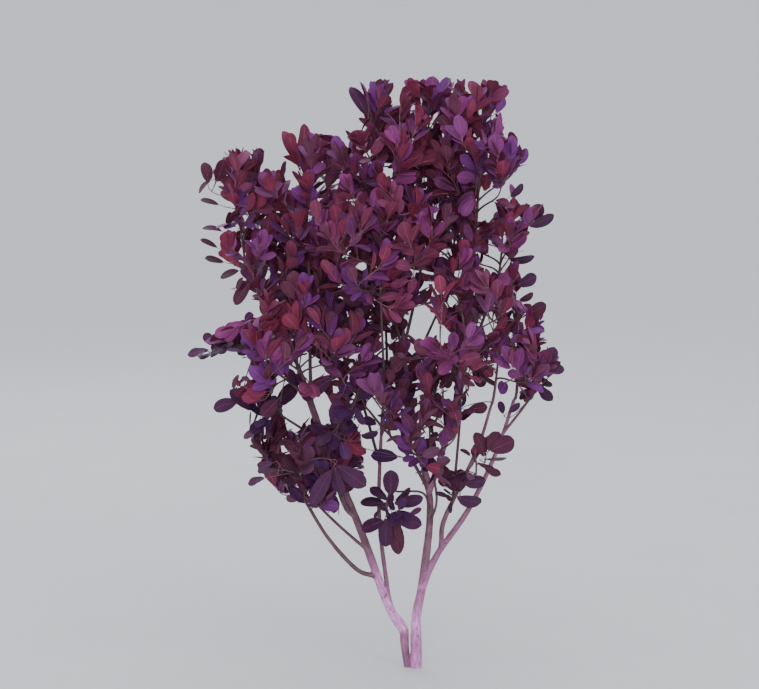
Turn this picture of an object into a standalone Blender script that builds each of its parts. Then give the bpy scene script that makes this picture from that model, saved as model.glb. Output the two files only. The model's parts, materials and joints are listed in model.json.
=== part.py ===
"""Smoke bush with dark purple leaves: two stems from one foot, their boughs and the leafy masses on these.

Units are metres and +Z is up. The origin is the centre of the flat cut at ground level.
Seen from the front, +X is to the right and +Y is to the back.
"""

import math
import random
from dataclasses import dataclass

import bmesh
import bpy
from mathutils import Matrix, Vector
from mathutils.bvhtree import BVHTree

# The joints between two pieces of wood, and between leaves and the wood that they pass
SEAT_GAP = 0.0003
LEAF_GAP = 0.0008
SPACE_GAP = 0.0006

# The foot: rings of height, half width, half depth and shift to the right
FOOT_RINGS = (
    (0.000, 0.0225, 0.0200, 0.0040),
    (0.006, 0.0202, 0.0175, 0.0035),
    (0.018, 0.0215, 0.0165, 0.0010),
    (0.036, 0.0300, 0.0175, -0.0045),
)
FOOT_SIDES = 12

# Leaves, larger than the 62 mm of the living ones because there are fewer of them
LEAF_LENGTH = 0.104
LEAF_WIDTH = 0.060
LEAF_THICKNESS = 0.0020
LEAF_SHOULDERS = ((0.38, 0.90), (0.78, 1.00))
ROOT_SUNK = 0.0012
OWN_ROOM = 0.12

# Twigs
TWIG_BASE_RADIUS = 0.0028
TWIG_TIP_RADIUS = 0.0020
TWIG_SIDES = 3
GOLDEN_ANGLE = math.radians(137.508)
LEAVES_PER_LITRE = 1.75
LEAVES_A_SHOOT = 4.6
SHORTEST_TWIG = 0.022
TWIG_SLOPE = 0.75
FLAT_STRAIN = 1.2
INNER_SHARE = 0.66
SAMPLES = 500

# The crown's outline from the front: height, furthest left, furthest right
OUTLINE = (
    (0.27, -0.130, 0.020), (0.36, -0.250, 0.060), (0.42, -0.370, 0.165), (0.52, -0.400, 0.205),
    (0.60, -0.430, 0.230), (0.68, -0.490, 0.300), (0.75, -0.560, 0.375), (0.81, -0.565, 0.370),
    (0.90, -0.455, 0.325),
    (1.05, -0.485, 0.290), (1.15, -0.500, 0.315), (1.24, -0.510, 0.285), (1.29, -0.445, 0.265),
    (1.33, -0.325, 0.245), (1.35, -0.160, 0.235), (1.45, -0.158, 0.222),
)
DEPTH_OF_WIDTH = 0.80
DEEPEST = 0.345
ROUNDNESS = 2.6
EGG_GROWTH = 1.30

BARK = ("bark", (0.34, 0.20, 0.20), 0.75)
YOUNG_BARK = ("young_bark", (0.16, 0.07, 0.08), 0.65)
FOLIAGE = {
    "foliage_red": ("foliage_red", (0.16, 0.016, 0.045), 0.45),
    "foliage_purple": ("foliage_purple", (0.085, 0.012, 0.050), 0.45),
    "foliage_dark": ("foliage_dark", (0.050, 0.010, 0.030), 0.50),
}


@dataclass(frozen=True)
class Limb:
    """A tapering limb that leaves its parent's axis at a height and passes a few places to its tip."""

    name: str
    parent: str
    leaves_at: float
    passes: tuple
    base_radius: float
    tip_radius: float
    thinning: float = 0.85


@dataclass(frozen=True)
class Mass:
    """A mass of foliage on the tip of a limb, with the egg-shaped space that it keeps to."""

    name: str
    limb: str
    tint: str
    centre: tuple
    reach: tuple
    fullness: float = 1.0
    leaf_share: float = 1.0


LIMBS = (
    Limb("left_stem", "foot", 0.026, (
        (-0.0215, 0.000, 0.090), (-0.062, 0.000, 0.160), (-0.131, -0.009, 0.355),
        (-0.208, -0.018, 0.552), (-0.258, -0.020, 0.700), (-0.308, -0.020, 0.830)), 0.0120, 0.0046, 1.25),
    Limb("right_stem", "foot", 0.026, (
        (0.0085, 0.000, 0.130), (0.024, 0.000, 0.222), (0.041, 0.000, 0.415),
        (0.010, 0.000, 0.573), (-0.018, 0.008, 0.740), (-0.029, 0.010, 0.880)), 0.0143, 0.0050, 0.65),
    Limb("back_stem", "left_stem", 0.148, (
        (-0.066, 0.014, 0.215), (-0.084, 0.032, 0.384), (-0.078, 0.090, 0.580), (-0.066, 0.140, 0.715)),
        0.0064, 0.0040),
    Limb("low_left_bough", "left_stem", 0.232, (
        (-0.139, -0.018, 0.254), (-0.208, -0.038, 0.337), (-0.262, -0.056, 0.432)), 0.0062, 0.0040),
    Limb("low_left_spur", "left_stem", 0.296, (
        (-0.185, 0.018, 0.357), (-0.252, 0.056, 0.415)), 0.0046, 0.0032),
    Limb("left_twin_bough", "left_stem", 0.385, (
        (-0.171, -0.030, 0.425), (-0.226, -0.070, 0.600), (-0.268, -0.110, 0.730)), 0.0066, 0.0038),
    Limb("left_outer_bough", "left_stem", 0.660, (
        (-0.290, -0.022, 0.712), (-0.368, -0.024, 0.770)), 0.0042, 0.0032),
    Limb("left_upright_bough", "left_stem", 0.670, (
        (-0.250, -0.044, 0.770), (-0.248, -0.056, 0.910), (-0.253, -0.056, 1.030)), 0.0050, 0.0034),
    Limb("left_low_bough", "left_stem", 0.540, (
        (-0.250, 0.024, 0.580), (-0.312, 0.036, 0.620)), 0.0042, 0.0032),
    Limb("left_upper_bough", "left_stem", 0.765, (
        (-0.318, -0.050, 0.820), (-0.345, -0.075, 0.870)), 0.0040, 0.0030),
    Limb("far_left_bough", "left_stem", 0.785, (
        (-0.346, 0.008, 0.890), (-0.400, 0.012, 1.000)), 0.0042, 0.0032),
    Limb("right_bough", "right_stem", 0.205, (
        (0.061, 0.006, 0.288), (0.135, 0.016, 0.395), (0.201, 0.028, 0.530), (0.247, 0.034, 0.668)),
        0.0094, 0.0042),
    Limb("right_outer_bough", "right_bough", 0.585, (
        (0.258, 0.004, 0.640), (0.280, -0.014, 0.675)), 0.0040, 0.0030),
    Limb("inner_right_bough", "right_bough", 0.300, (
        (0.073, -0.004, 0.366), (0.109, -0.014, 0.452), (0.158, -0.030, 0.567), (0.187, -0.048, 0.670)),
        0.0066, 0.0036, 1.0),
    Limb("thin_upright", "inner_right_bough", 0.420, (
        (0.104, 0.010, 0.500), (0.116, 0.044, 0.640), (0.112, 0.066, 0.720)), 0.0040, 0.0030),
    Limb("right_low_spur", "inner_right_bough", 0.455, (
        (0.128, -0.044, 0.480), (0.142, -0.072, 0.498)), 0.0036, 0.0030),
    Limb("centre_right_bough", "right_stem", 0.446, (
        (0.058, -0.012, 0.507), (0.098, -0.028, 0.660), (0.126, -0.026, 0.880), (0.146, -0.020, 1.070)),
        0.0084, 0.0040),
    Limb("centre_left_bough", "right_stem", 0.448, (
        (-0.006, -0.030, 0.530), (-0.078, -0.066, 0.620), (-0.108, -0.088, 0.662)), 0.0048, 0.0032),
    Limb("centre_back_bough", "right_stem", 0.525, (
        (-0.030, 0.024, 0.595), (-0.074, 0.050, 0.700)), 0.0044, 0.0032),
    Limb("low_hanging_twig", "right_stem", 0.395, (
        (0.022, -0.040, 0.450), (-0.040, -0.078, 0.462)), 0.0034, 0.0028),
    Limb("low_front_spur", "right_stem", 0.360, (
        (0.056, -0.034, 0.430), (0.044, -0.074, 0.520)), 0.0036, 0.0030),
    Limb("top_left_bough", "right_stem", 0.760, (
        (-0.048, -0.022, 0.890), (-0.068, -0.040, 1.010), (-0.080, -0.050, 1.120)), 0.0042, 0.0032),
    Limb("top_centre_bough", "right_stem", 0.800, (
        (0.004, 0.026, 0.920), (0.022, 0.034, 1.020), (0.032, 0.036, 1.120)), 0.0042, 0.0034),
    Limb("right_upper_bough", "centre_right_bough", 0.740, (
        (0.160, -0.006, 0.850), (0.200, 0.016, 0.960)), 0.0042, 0.0032),
    Limb("front_right_bough", "centre_right_bough", 0.580, (
        (0.104, -0.080, 0.660), (0.120, -0.150, 0.770)), 0.0044, 0.0032),
    Limb("front_bough", "centre_left_bough", 0.596, (
        (-0.070, -0.120, 0.720), (-0.080, -0.180, 0.930)), 0.0036, 0.0030),
    Limb("back_left_bough", "back_stem", 0.500, (
        (-0.136, 0.136, 0.670), (-0.220, 0.176, 0.850)), 0.0042, 0.0032),
    Limb("back_right_bough", "back_stem", 0.570, (
        (-0.014, 0.146, 0.700), (0.080, 0.190, 0.900)), 0.0042, 0.0032),
)

MASSES = (
    Mass("left_heart", "left_stem", "foliage_purple",
         (-0.300, 0.040, 0.985), (0.140, 0.130, 0.140), 0.9),
    Mass("centre_heart", "right_stem", "foliage_purple",
         (-0.050, 0.030, 1.040), (0.140, 0.130, 0.150), 0.9),
    Mass("back_heart", "back_stem", "foliage_dark",
         (-0.060, 0.220, 0.870), (0.160, 0.140, 0.150), 0.9),
    Mass("low_left", "low_left_bough", "foliage_dark",
         (-0.285, -0.090, 0.490), (0.130, 0.130, 0.120), 1.1),
    Mass("low_left_back", "low_left_spur", "foliage_dark",
         (-0.265, 0.100, 0.520), (0.130, 0.120, 0.110)),
    Mass("left_front", "left_twin_bough", "foliage_purple",
         (-0.270, -0.190, 0.840), (0.150, 0.130, 0.150)),
    Mass("far_left", "left_outer_bough", "foliage_purple",
         (-0.445, -0.025, 0.795), (0.130, 0.150, 0.090), 1.2),
    Mass("upper_left_plume", "left_upright_bough", "foliage_red",
         (-0.255, -0.055, 1.180), (0.110, 0.120, 0.140)),
    Mass("left_low", "left_low_bough", "foliage_dark",
         (-0.370, 0.040, 0.645), (0.120, 0.140, 0.075), 1.1, 0.9),
    Mass("left_upper", "left_upper_bough", "foliage_purple",
         (-0.400, -0.100, 0.960), (0.130, 0.130, 0.130), 1.1, 0.9),
    Mass("far_left_shoulder", "far_left_bough", "foliage_red",
         (-0.420, 0.010, 1.130), (0.130, 0.140, 0.140), 1.1),
    Mass("right_outer", "right_bough", "foliage_purple",
         (0.245, 0.080, 0.850), (0.125, 0.140, 0.120), 1.2),
    Mass("far_right", "right_outer_bough", "foliage_red",
         (0.290, -0.030, 0.755), (0.130, 0.140, 0.100), 1.6, 0.85),
    Mass("right_inner", "inner_right_bough", "foliage_purple",
         (0.185, -0.160, 0.800), (0.120, 0.130, 0.120), 1.1, 0.9),
    Mass("right_back_low", "thin_upright", "foliage_dark",
         (0.110, 0.150, 0.820), (0.140, 0.140, 0.130)),
    Mass("right_low", "right_low_spur", "foliage_dark",
         (0.165, -0.100, 0.535), (0.110, 0.110, 0.100), 1.2, 0.75),
    Mass("top_right", "centre_right_bough", "foliage_red",
         (0.150, -0.015, 1.270), (0.115, 0.150, 0.150), 1.4),
    Mass("low_front_left", "centre_left_bough", "foliage_purple",
         (-0.125, -0.180, 0.710), (0.140, 0.130, 0.120)),
    Mass("centre_left", "centre_back_bough", "foliage_dark",
         (-0.115, 0.050, 0.810), (0.120, 0.110, 0.140)),
    Mass("low_hanging", "low_hanging_twig", "foliage_dark",
         (-0.060, -0.095, 0.405), (0.090, 0.085, 0.105), 1.2, 0.85),
    Mass("low_front", "low_front_spur", "foliage_purple",
         (0.040, -0.130, 0.640), (0.130, 0.130, 0.130), 1.1),
    Mass("top_left_plume", "top_left_bough", "foliage_red",
         (-0.085, -0.065, 1.275), (0.110, 0.130, 0.160), 1.4),
    Mass("top_centre", "top_centre_bough", "foliage_red",
         (0.040, 0.060, 1.300), (0.105, 0.140, 0.150), 1.4),
    Mass("upper_right", "right_upper_bough", "foliage_red",
         (0.225, 0.045, 1.060), (0.130, 0.150, 0.140), 1.4),
    Mass("front_right", "front_right_bough", "foliage_red",
         (0.115, -0.215, 0.900), (0.140, 0.130, 0.150)),
    Mass("upper_front", "front_bough", "foliage_red",
         (-0.080, -0.210, 1.060), (0.150, 0.130, 0.160)),
    Mass("left_back", "back_left_bough", "foliage_purple",
         (-0.260, 0.225, 0.980), (0.150, 0.140, 0.160)),
    Mass("right_back", "back_right_bough", "foliage_purple",
         (0.120, 0.225, 1.050), (0.150, 0.140, 0.160)),
)

# Limbs: the steps between the rings of thin and of thick ones, the thick ones, and where shading breaks
LIMB_STEP = 0.065
STEM_STEP = 0.055
THICK_LIMBS = ("left_stem", "right_stem", "right_bough", "centre_right_bough")
STEM_FEET = {"left_stem": -0.0200, "right_stem": 0.0080}
THICK_BARK = 0.006
SHARP_ANGLE = math.radians(50)


def clear_scene():
    """Removes the startup objects."""
    for thing in list(bpy.data.objects):
        bpy.data.objects.remove(thing)


def add_collection(name, hidden=False):
    """A new collection of the scene, left out of the render if it is hidden."""
    collection = bpy.data.collections.new(name)
    bpy.context.scene.collection.children.link(collection)
    collection.hide_render = hidden
    return collection


def add_material(name, colour, roughness):
    """A Principled material of one colour."""
    material = bpy.data.materials.new(name)
    material.use_nodes = True
    shader = material.node_tree.nodes["Principled BSDF"]
    shader.inputs["Base Color"].default_value = (*colour, 1.0)
    shader.inputs["Roughness"].default_value = roughness
    return material


def smooth_path(places, step):
    """Points about a step apart on the smooth curve through the places."""
    ends = [2 * places[0] - places[1], *places, 2 * places[-1] - places[-2]]
    path = []
    for before, start, end, after in zip(ends, ends[1:], ends[2:], ends[3:]):
        count = max(1, round((end - start).length / step))
        for index in range(count):
            t = index / count
            path.append(0.5 * (
                2 * start + (end - before) * t
                + (2 * before - 5 * start + 4 * end - after) * t ** 2
                + (3 * start - before - 3 * end + after) * t ** 3))
    path.append(places[-1].copy())
    return path


def at_height(path, height):
    """The point of a rising path at a height."""
    for low, high in zip(path, path[1:]):
        if low.z <= height <= high.z:
            return low.lerp(high, (height - low.z) / (high.z - low.z))
    raise ValueError(f"no point of the path is {height} m up")


def tapered(path, base_radius, tip_radius, thinning=0.85):
    """The radius at each point of a path, from its base to its tip."""
    spans = [0.0]
    for start, end in zip(path, path[1:]):
        spans.append(spans[-1] + (end - start).length)
    return [base_radius + (tip_radius - base_radius) * (span / spans[-1]) ** thinning for span in spans]


def tube_mesh(name, path, radii, roundness):
    """The closed mesh of a tube along a path: a curve with a bevel and filled caps, with its caps welded."""
    curve = bpy.data.curves.new(name, "CURVE")
    curve.dimensions = "3D"
    curve.bevel_depth = 1.0
    curve.bevel_resolution = roundness
    curve.use_fill_caps = True
    spline = curve.splines.new("POLY")
    spline.points.add(len(path) - 1)
    for point, place, radius in zip(spline.points, path, radii):
        point.co = (*place, 1.0)
        point.radius = radius
    guide = bpy.data.objects.new(name + "_curve", curve)
    bpy.context.scene.collection.objects.link(guide)
    evaluated = guide.evaluated_get(bpy.context.evaluated_depsgraph_get())
    mesh = bpy.data.meshes.new_from_object(evaluated)
    bpy.data.objects.remove(guide)
    bpy.data.curves.remove(curve)
    shape = bmesh.new()
    shape.from_mesh(mesh)
    bmesh.ops.remove_doubles(shape, verts=shape.verts, dist=0.00002)
    bmesh.ops.recalc_face_normals(shape, faces=shape.faces)
    shape.to_mesh(mesh)
    shape.free()
    mesh.name = name
    return mesh


def foot_mesh(name, growth=0.0):
    """The foot: a flat cut on the ground, drawn up ring by ring to the flat top under the two stems."""
    shape = bmesh.new()
    bmesh.ops.create_circle(shape, cap_ends=True, radius=1.0, segments=FOOT_SIDES)
    first = FOOT_RINGS[0]
    placed = Matrix.Translation((first[3], 0, first[0] - growth)) @ Matrix.Diagonal(
        (first[1] + growth, first[2] + growth, 1, 1))
    bmesh.ops.transform(shape, matrix=placed, verts=shape.verts)
    edge = shape.edges[:]
    for ring, below in zip(FOOT_RINGS[1:], FOOT_RINGS):
        grown = bmesh.ops.extrude_edge_only(shape, edges=edge)["geom"]
        edge = [part for part in grown if isinstance(part, bmesh.types.BMEdge)]
        verts = [part for part in grown if isinstance(part, bmesh.types.BMVert)]
        centre = Matrix.Translation((-below[3], 0, 0))
        widen = Matrix.Diagonal((
            (ring[1] + growth) / (below[1] + growth), (ring[2] + growth) / (below[2] + growth), 1, 1))
        back = Matrix.Translation((ring[3], 0, 0))
        bmesh.ops.transform(shape, matrix=back @ widen @ centre, verts=verts)
        for vert in verts:
            vert.co.z = ring[0]
    top = bmesh.ops.contextual_create(shape, geom=edge)["faces"]
    for face in top:
        for vert in face.verts:
            vert.co.z += growth
    bmesh.ops.recalc_face_normals(shape, faces=shape.faces)
    mesh = bpy.data.meshes.new(name)
    shape.to_mesh(mesh)
    shape.free()
    return mesh


def limb_paths():
    """The axis of each limb, by name, from its start inside its parent to its tip."""
    paths = {}
    for limb in LIMBS:
        if limb.parent == "foot":
            start = Vector((STEM_FEET[limb.name], 0, limb.leaves_at))
        else:
            start = at_height(paths[limb.parent], limb.leaves_at)
        step = STEM_STEP if limb.name in THICK_LIMBS else LIMB_STEP
        paths[limb.name] = smooth_path([start, *map(Vector, limb.passes)], step)
    return paths


def limb_mesh(limb, path, growth=0.0):
    """The tube of a limb, or of the same limb grown all round to cut a seat for another."""
    radii = tapered(path, limb.base_radius, limb.tip_radius, limb.thinning)
    radii = [radius + growth for radius in radii]
    return tube_mesh(limb.name, path, radii, 2 if limb.name in THICK_LIMBS else 1)


def add_object(name, mesh, material, collection):
    """A named object of a mesh, with its material."""
    thing = bpy.data.objects.new(name, mesh)
    thing.hide_render = collection.hide_render
    mesh.materials.clear()
    mesh.materials.append(material)
    collection.objects.link(thing)
    return thing


def apply_boolean(thing, **settings):
    """Runs one Boolean modifier on an object and keeps its result as the object's mesh."""
    modifier = thing.modifiers.new("join", "BOOLEAN")
    for key, value in settings.items():
        setattr(modifier, key, value)
    evaluated = thing.evaluated_get(bpy.context.evaluated_depsgraph_get())
    mesh = bpy.data.meshes.new_from_object(evaluated)
    thing.modifiers.clear()
    thing.data = mesh


def build_wood(paths, collection, cutters, bark, young_bark):
    """The foot and the limbs, each limb cut clear of the parent that it is seated on."""
    add_object("foot", foot_mesh("foot"), bark, collection)
    parents = {"foot": foot_mesh("foot_seat", SEAT_GAP)}
    for limb in LIMBS:
        parents[limb.name] = limb_mesh(limb, paths[limb.name], SEAT_GAP)
    for limb in LIMBS:
        material = bark if limb.base_radius > THICK_BARK else young_bark
        thing = add_object(limb.name, limb_mesh(limb, paths[limb.name]), material, collection)
        cutter = bpy.data.objects.new(limb.name + "_seat", parents[limb.parent])
        cutter.hide_render = True
        cutter.display_type = "WIRE"
        cutters.objects.link(cutter)
        apply_boolean(thing, operation="DIFFERENCE", object=cutter, solver="EXACT")
        bpy.data.objects.remove(cutter)
        keep_largest(thing)
        thing.data.shade_smooth()
        thing.data.set_sharp_from_angle(angle=SHARP_ANGLE)


def keep_largest(thing):
    """Drops the loose scraps that a cut or a join leaves beside an object's main body."""
    shape = bmesh.new()
    shape.from_mesh(thing.data)
    left = set(shape.verts)
    bodies = []
    while left:
        front = [left.pop()]
        body = set(front)
        while front:
            vert = front.pop()
            for edge in vert.link_edges:
                other = edge.other_vert(vert)
                if other not in body:
                    body.add(other)
                    front.append(other)
        left -= body
        bodies.append(body)
    bodies.sort(key=len)
    for body in bodies[:-1]:
        bmesh.ops.delete(shape, geom=list(body), context="VERTS")
    shape.to_mesh(thing.data)
    shape.free()


def leaf_template():
    """A leaf of eight faces: an octahedron laid flat, so that its six corners go round the leaf's outline.

    The root is at the origin, the blade runs along +Y and its upper side is to +Z.
    """
    shape = bmesh.new()
    bmesh.ops.create_uvsphere(shape, u_segments=4, v_segments=2, radius=1.0)
    (low, low_share), (high, high_share) = LEAF_SHOULDERS
    for vert in shape.verts:
        x, y, z = (round(value) for value in vert.co)
        upper = x + y + z > 0
        level = (LEAF_THICKNESS if upper else -LEAF_THICKNESS) / 2
        if y:
            vert.co = Vector((0, LEAF_LENGTH if upper else 0, level))
            continue
        along, share = (low, low_share) if upper else (high, high_share)
        side = 1 if x > 0 or z < 0 else -1
        vert.co = Vector((side * share * LEAF_WIDTH / 2, along * LEAF_LENGTH, level))
    bmesh.ops.recalc_face_normals(shape, faces=shape.faces)
    mesh = bpy.data.meshes.new("leaf")
    shape.to_mesh(mesh)
    shape.free()
    return mesh


def leaf_frame(root, along, face_to, roll, size):
    """The matrix that sets a leaf at its root, along a direction, with its upper side towards another."""
    forward = along.normalized()
    up = (face_to - forward * face_to.dot(forward)).normalized()
    side = forward.cross(up)
    turned = Matrix((side, forward, up)).transposed()
    return (Matrix.Translation(root) @ turned.to_4x4() @ Matrix.Rotation(roll, 4, "Y")
            @ Matrix.Scale(size, 4))


def twig_mesh(start, end, base_radius, tip_radius):
    """A three-sided tapering twig from one place to another."""
    shape = bmesh.new()
    length = (end - start).length
    bmesh.ops.create_cone(
        shape, cap_ends=True, cap_tris=True, segments=TWIG_SIDES,
        radius1=base_radius, radius2=tip_radius, depth=length)
    turn = (end - start).to_track_quat("Z", "Y").to_matrix().to_4x4()
    bmesh.ops.transform(shape, matrix=Matrix.Translation((start + end) / 2) @ turn, verts=shape.verts)
    mesh = bpy.data.meshes.new("twig")
    shape.to_mesh(mesh)
    shape.free()
    return mesh


def in_outline(point):
    """Whether a point is within the outline of the whole crown, which is oval in plan."""
    if not OUTLINE[0][0] <= point.z <= OUTLINE[-1][0]:
        return False
    for low, high in zip(OUTLINE, OUTLINE[1:]):
        if point.z <= high[0]:
            share = (point.z - low[0]) / (high[0] - low[0])
            break
    left = low[1] + (high[1] - low[1]) * share
    right = low[2] + (high[2] - low[2]) * share
    half = (right - left) / 2
    depth = min(half * DEPTH_OF_WIDTH, DEEPEST)
    across = abs(point.x - (left + right) / 2) / half
    return across ** ROUNDNESS + abs(point.y / depth) ** ROUNDNESS <= 1.0


class Space:
    """The room that a mass keeps to: its own egg within the crown, on its own side of every neighbour."""

    def __init__(self, mass):
        self.middle = Vector(mass.centre)
        self.reach = Vector(mass.reach) * EGG_GROWTH
        self.walls = []
        own = sum(mass.reach) / 3
        for other in MASSES:
            if other is mass:
                continue
            away = Vector(other.centre) - self.middle
            theirs = sum(other.reach) / 3
            share = 0.5 + (own ** 2 - theirs ** 2) / (2 * away.length_squared)
            self.walls.append((self.middle + away * share, away.normalized()))
        self.sample(random.Random(mass.name + "_space"))

    def holds(self, point):
        """Whether a point is in the egg, in the crown and inside the walls."""
        offset = point - self.middle
        inside = sum((offset[i] / self.reach[i]) ** 2 for i in range(3)) <= 1.0
        return inside and in_outline(point) and self.walled(point)

    def walled(self, point):
        """Whether a point is on this side of every neighbour."""
        return all((point - wall).dot(normal) < -SPACE_GAP for wall, normal in self.walls)

    def sample(self, rng):
        """Places spread through the space, its centre of volume and its litres."""
        self.places = []
        tries = 0
        while len(self.places) < SAMPLES:
            tries += 1
            offset = Vector(rng.uniform(-1, 1) * reach for reach in self.reach)
            if self.holds(self.middle + offset):
                self.places.append(self.middle + offset)
        self.centre = sum(self.places, Vector()) / SAMPLES
        self.litres = 8000 * math.prod(self.reach) * SAMPLES / tries

    def targets(self, count, taken):
        """Places in the inner part of the space, each the furthest from those taken before it."""
        inner = [self.centre + (place - self.centre) * INNER_SHARE for place in self.places]
        chosen = []
        for _ in range(count):
            best = max(inner, key=lambda place: min((place - other).length for other in taken))
            chosen.append(best)
            taken = [*taken, best]
        return chosen


def stem_path(mass, space, limb_path):
    """The stem of a mass: on from its limb's tip in the same direction, then up through the space."""
    tip, before = limb_path[-1], limb_path[-2]
    direction = (tip - before).normalized()
    start = tip + direction * SEAT_GAP
    rise = max(place.z for place in space.places) - space.centre.z
    top = space.centre + Vector((0, 0, 0.30 * rise))
    if mass.name == "low_hanging":
        top = space.centre + Vector((0, 0, -0.25 * rise))
    first = start + direction * min(0.02, 0.25 * (top - start).length)
    middle = first.lerp(top, 0.5) + direction * 0.12 * (top - first).length
    return [start, first, middle, top]


def surface_of(mesh, matrix=None):
    """The corners and faces of a mesh, for a touch test."""
    corners = [matrix @ v.co if matrix else v.co.copy() for v in mesh.vertices]
    return corners, [tuple(face.vertices) for face in mesh.polygons]


def tree_of(surfaces):
    """One search tree over several surfaces."""
    corners, faces = [], []
    for some_corners, some_faces in surfaces:
        first = len(corners)
        corners.extend(some_corners)
        faces.extend(tuple(first + i for i in face) for face in some_faces)
    return BVHTree.FromPolygons(corners, faces)


def strain(reach):
    """How unlike a rising twig a reach is: its length, and more where it is flatter than a twig's slope."""
    return reach.length + FLAT_STRAIN * max(0.0, TWIG_SLOPE * Vector(reach[:2]).length - reach.z)


class Grower:
    """Grows one mass: its stem, twigs to places spread through its space, and leaves set round each shoot."""

    def __init__(self, mass, space, stem, obstacles, leaf):
        self.mass = mass
        self.space = space
        self.stem = stem
        self.obstacles = obstacles
        self.leaf = leaf
        self.twigs = []
        self.leaves = []
        self.shoots = [(stem[-2], stem[-1])]
        self.taken = []
        self.own = None

    def free(self, surface, inner):
        """Whether a surface keeps to the space and touches no limb and nothing of its own but its root."""
        if not all(self.space.holds(corner) for corner in surface[0]):
            return False
        tree = BVHTree.FromPolygons(*surface)
        if tree.overlap(self.obstacles):
            return False
        if any(tree.overlap(other) for other in self.taken):
            return False
        return not (self.own and BVHTree.FromPolygons(*inner).overlap(self.own))

    def grow(self, collection, material):
        """Sets the twigs and leaves in a collection, and returns how many leaves there are."""
        rng = random.Random(self.mass.name)
        wanted = self.space.litres * LEAVES_PER_LITRE * self.mass.fullness
        self.set_twigs(rng, max(2, round(wanted / LEAVES_A_SHOOT) - 1))
        self.own = tree_of([surface_of(mesh) for mesh in self.twigs]) if self.twigs else None
        per_shoot = round(wanted / len(self.shoots) + 0.4)
        for start, end in self.shoots:
            self.set_leaves(rng, start, end, per_shoot)
        for index, mesh in enumerate(self.twigs + self.leaves):
            add_object(f"{self.mass.name}_{index}", mesh, material, collection)
        return len(self.leaves)

    def set_twigs(self, rng, count):
        """Twigs that rise from the stem to places spread through the space."""
        line = [self.stem[1].lerp(self.stem[2], t / 4) for t in range(4)]
        line += [self.stem[2].lerp(self.stem[3], t / 5) for t in range(5)]
        for target in self.space.targets(count, line + [self.stem[3]]):
            for start in sorted(line, key=lambda place: strain(target - place))[:5]:
                if (target - start).length < SHORTEST_TWIG:
                    continue
                mesh = twig_mesh(start, target, TWIG_BASE_RADIUS, TWIG_TIP_RADIUS)
                surface = surface_of(mesh)
                if not BVHTree.FromPolygons(*surface).overlap(self.obstacles):
                    self.twigs.append(mesh)
                    self.shoots.append((start, target))
                    break

    def set_leaves(self, rng, start, end, count):
        """Leaves round a shoot: one at its tip, and the others spreading more the lower they stand."""
        axis = (end - start).normalized()
        length = (end - start).length
        across = axis.orthogonal().normalized()
        phase = rng.uniform(0, 2 * math.pi)
        for place in range(count):
            back = 0.0 if place == 0 else min(0.8 * length, 0.006 + 0.55 * length * place / count)
            root = end - axis * back
            spread = math.radians(10 if place == 0 else 36 + 40 * place / count)
            for attempt in range(14):
                angle = phase + place * GOLDEN_ANGLE + attempt * 0.63
                out = Matrix.Rotation(angle, 3, axis) @ across
                along = axis * math.cos(spread) + out * math.sin(spread) + Vector((0, 0, 0.10))
                size = rng.uniform(0.92, 1.10) * (1.0 if attempt < 7 else 0.78) * self.mass.leaf_share
                sunk = root - along.normalized() * ROOT_SUNK
                frame = leaf_frame(sunk, along, axis + Vector((0, 0, 0.5)), rng.uniform(-0.6, 0.6), size)
                inner = leaf_frame(
                    root + along.normalized() * OWN_ROOM * LEAF_LENGTH, along, axis + Vector((0, 0, 0.5)),
                    0.0, size * (1 - OWN_ROOM))
                surface = surface_of(self.leaf, frame)
                if self.free(surface, surface_of(self.leaf, inner)):
                    mesh = self.leaf.copy()
                    mesh.transform(frame)
                    self.leaves.append(mesh)
                    self.taken.append(BVHTree.FromPolygons(*surface))
                    break


def grown_surface(limb, path):
    """The surface of a limb with the room that leaves keep from it."""
    return surface_of(limb_mesh(limb, path, LEAF_GAP))


def build_foliage(paths, collection, materials):
    """The masses, each one closed solid: stem, twigs and leaves joined by one union."""
    wood = [grown_surface(limb, paths[limb.name]) for limb in LIMBS]
    wood.append(surface_of(foot_mesh("foot_room", LEAF_GAP)))
    spaces = {mass.name: Space(mass) for mass in MASSES}
    stems, stem_meshes, stem_rooms = {}, {}, {}
    for mass in MASSES:
        limb = next(one for one in LIMBS if one.name == mass.limb)
        stem = stem_path(mass, spaces[mass.name], paths[mass.limb])
        radii = tapered(stem, limb.tip_radius, TWIG_BASE_RADIUS)
        stems[mass.name] = stem
        stem_meshes[mass.name] = tube_mesh(mass.name, stem, radii, 0)
        stem_rooms[mass.name] = surface_of(
            tube_mesh("room", stem, [radius + LEAF_GAP for radius in radii], 0))
    leaf = leaf_template()
    counts = {}
    for mass in MASSES:
        others = [room for name, room in stem_rooms.items() if name != mass.name]
        grower = Grower(mass, spaces[mass.name], stems[mass.name], tree_of(wood + others), leaf)
        thing = add_object(mass.name, stem_meshes[mass.name], materials[mass.tint], collection)
        loose = add_collection(mass.name + "_loose", hidden=True)
        counts[mass.name] = grower.grow(loose, materials[mass.tint])
        apply_boolean(thing, operation="UNION", operand_type="COLLECTION", collection=loose, solver="EXACT")
        for part in list(loose.objects):
            bpy.data.objects.remove(part)
        bpy.data.collections.remove(loose)
        keep_largest(thing)
    return counts


def main():
    """Builds the whole bush."""
    clear_scene()
    bush = add_collection("smoke_bush")
    cutters = add_collection("cutters", hidden=True)
    bark = add_material(*BARK)
    young_bark = add_material(*YOUNG_BARK)
    foliage = {tint: add_material(*values) for tint, values in FOLIAGE.items()}
    paths = limb_paths()
    build_wood(paths, bush, cutters, bark, young_bark)
    counts = build_foliage(paths, bush, foliage)
    print("leaves:", sum(counts.values()), counts)


main()
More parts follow.
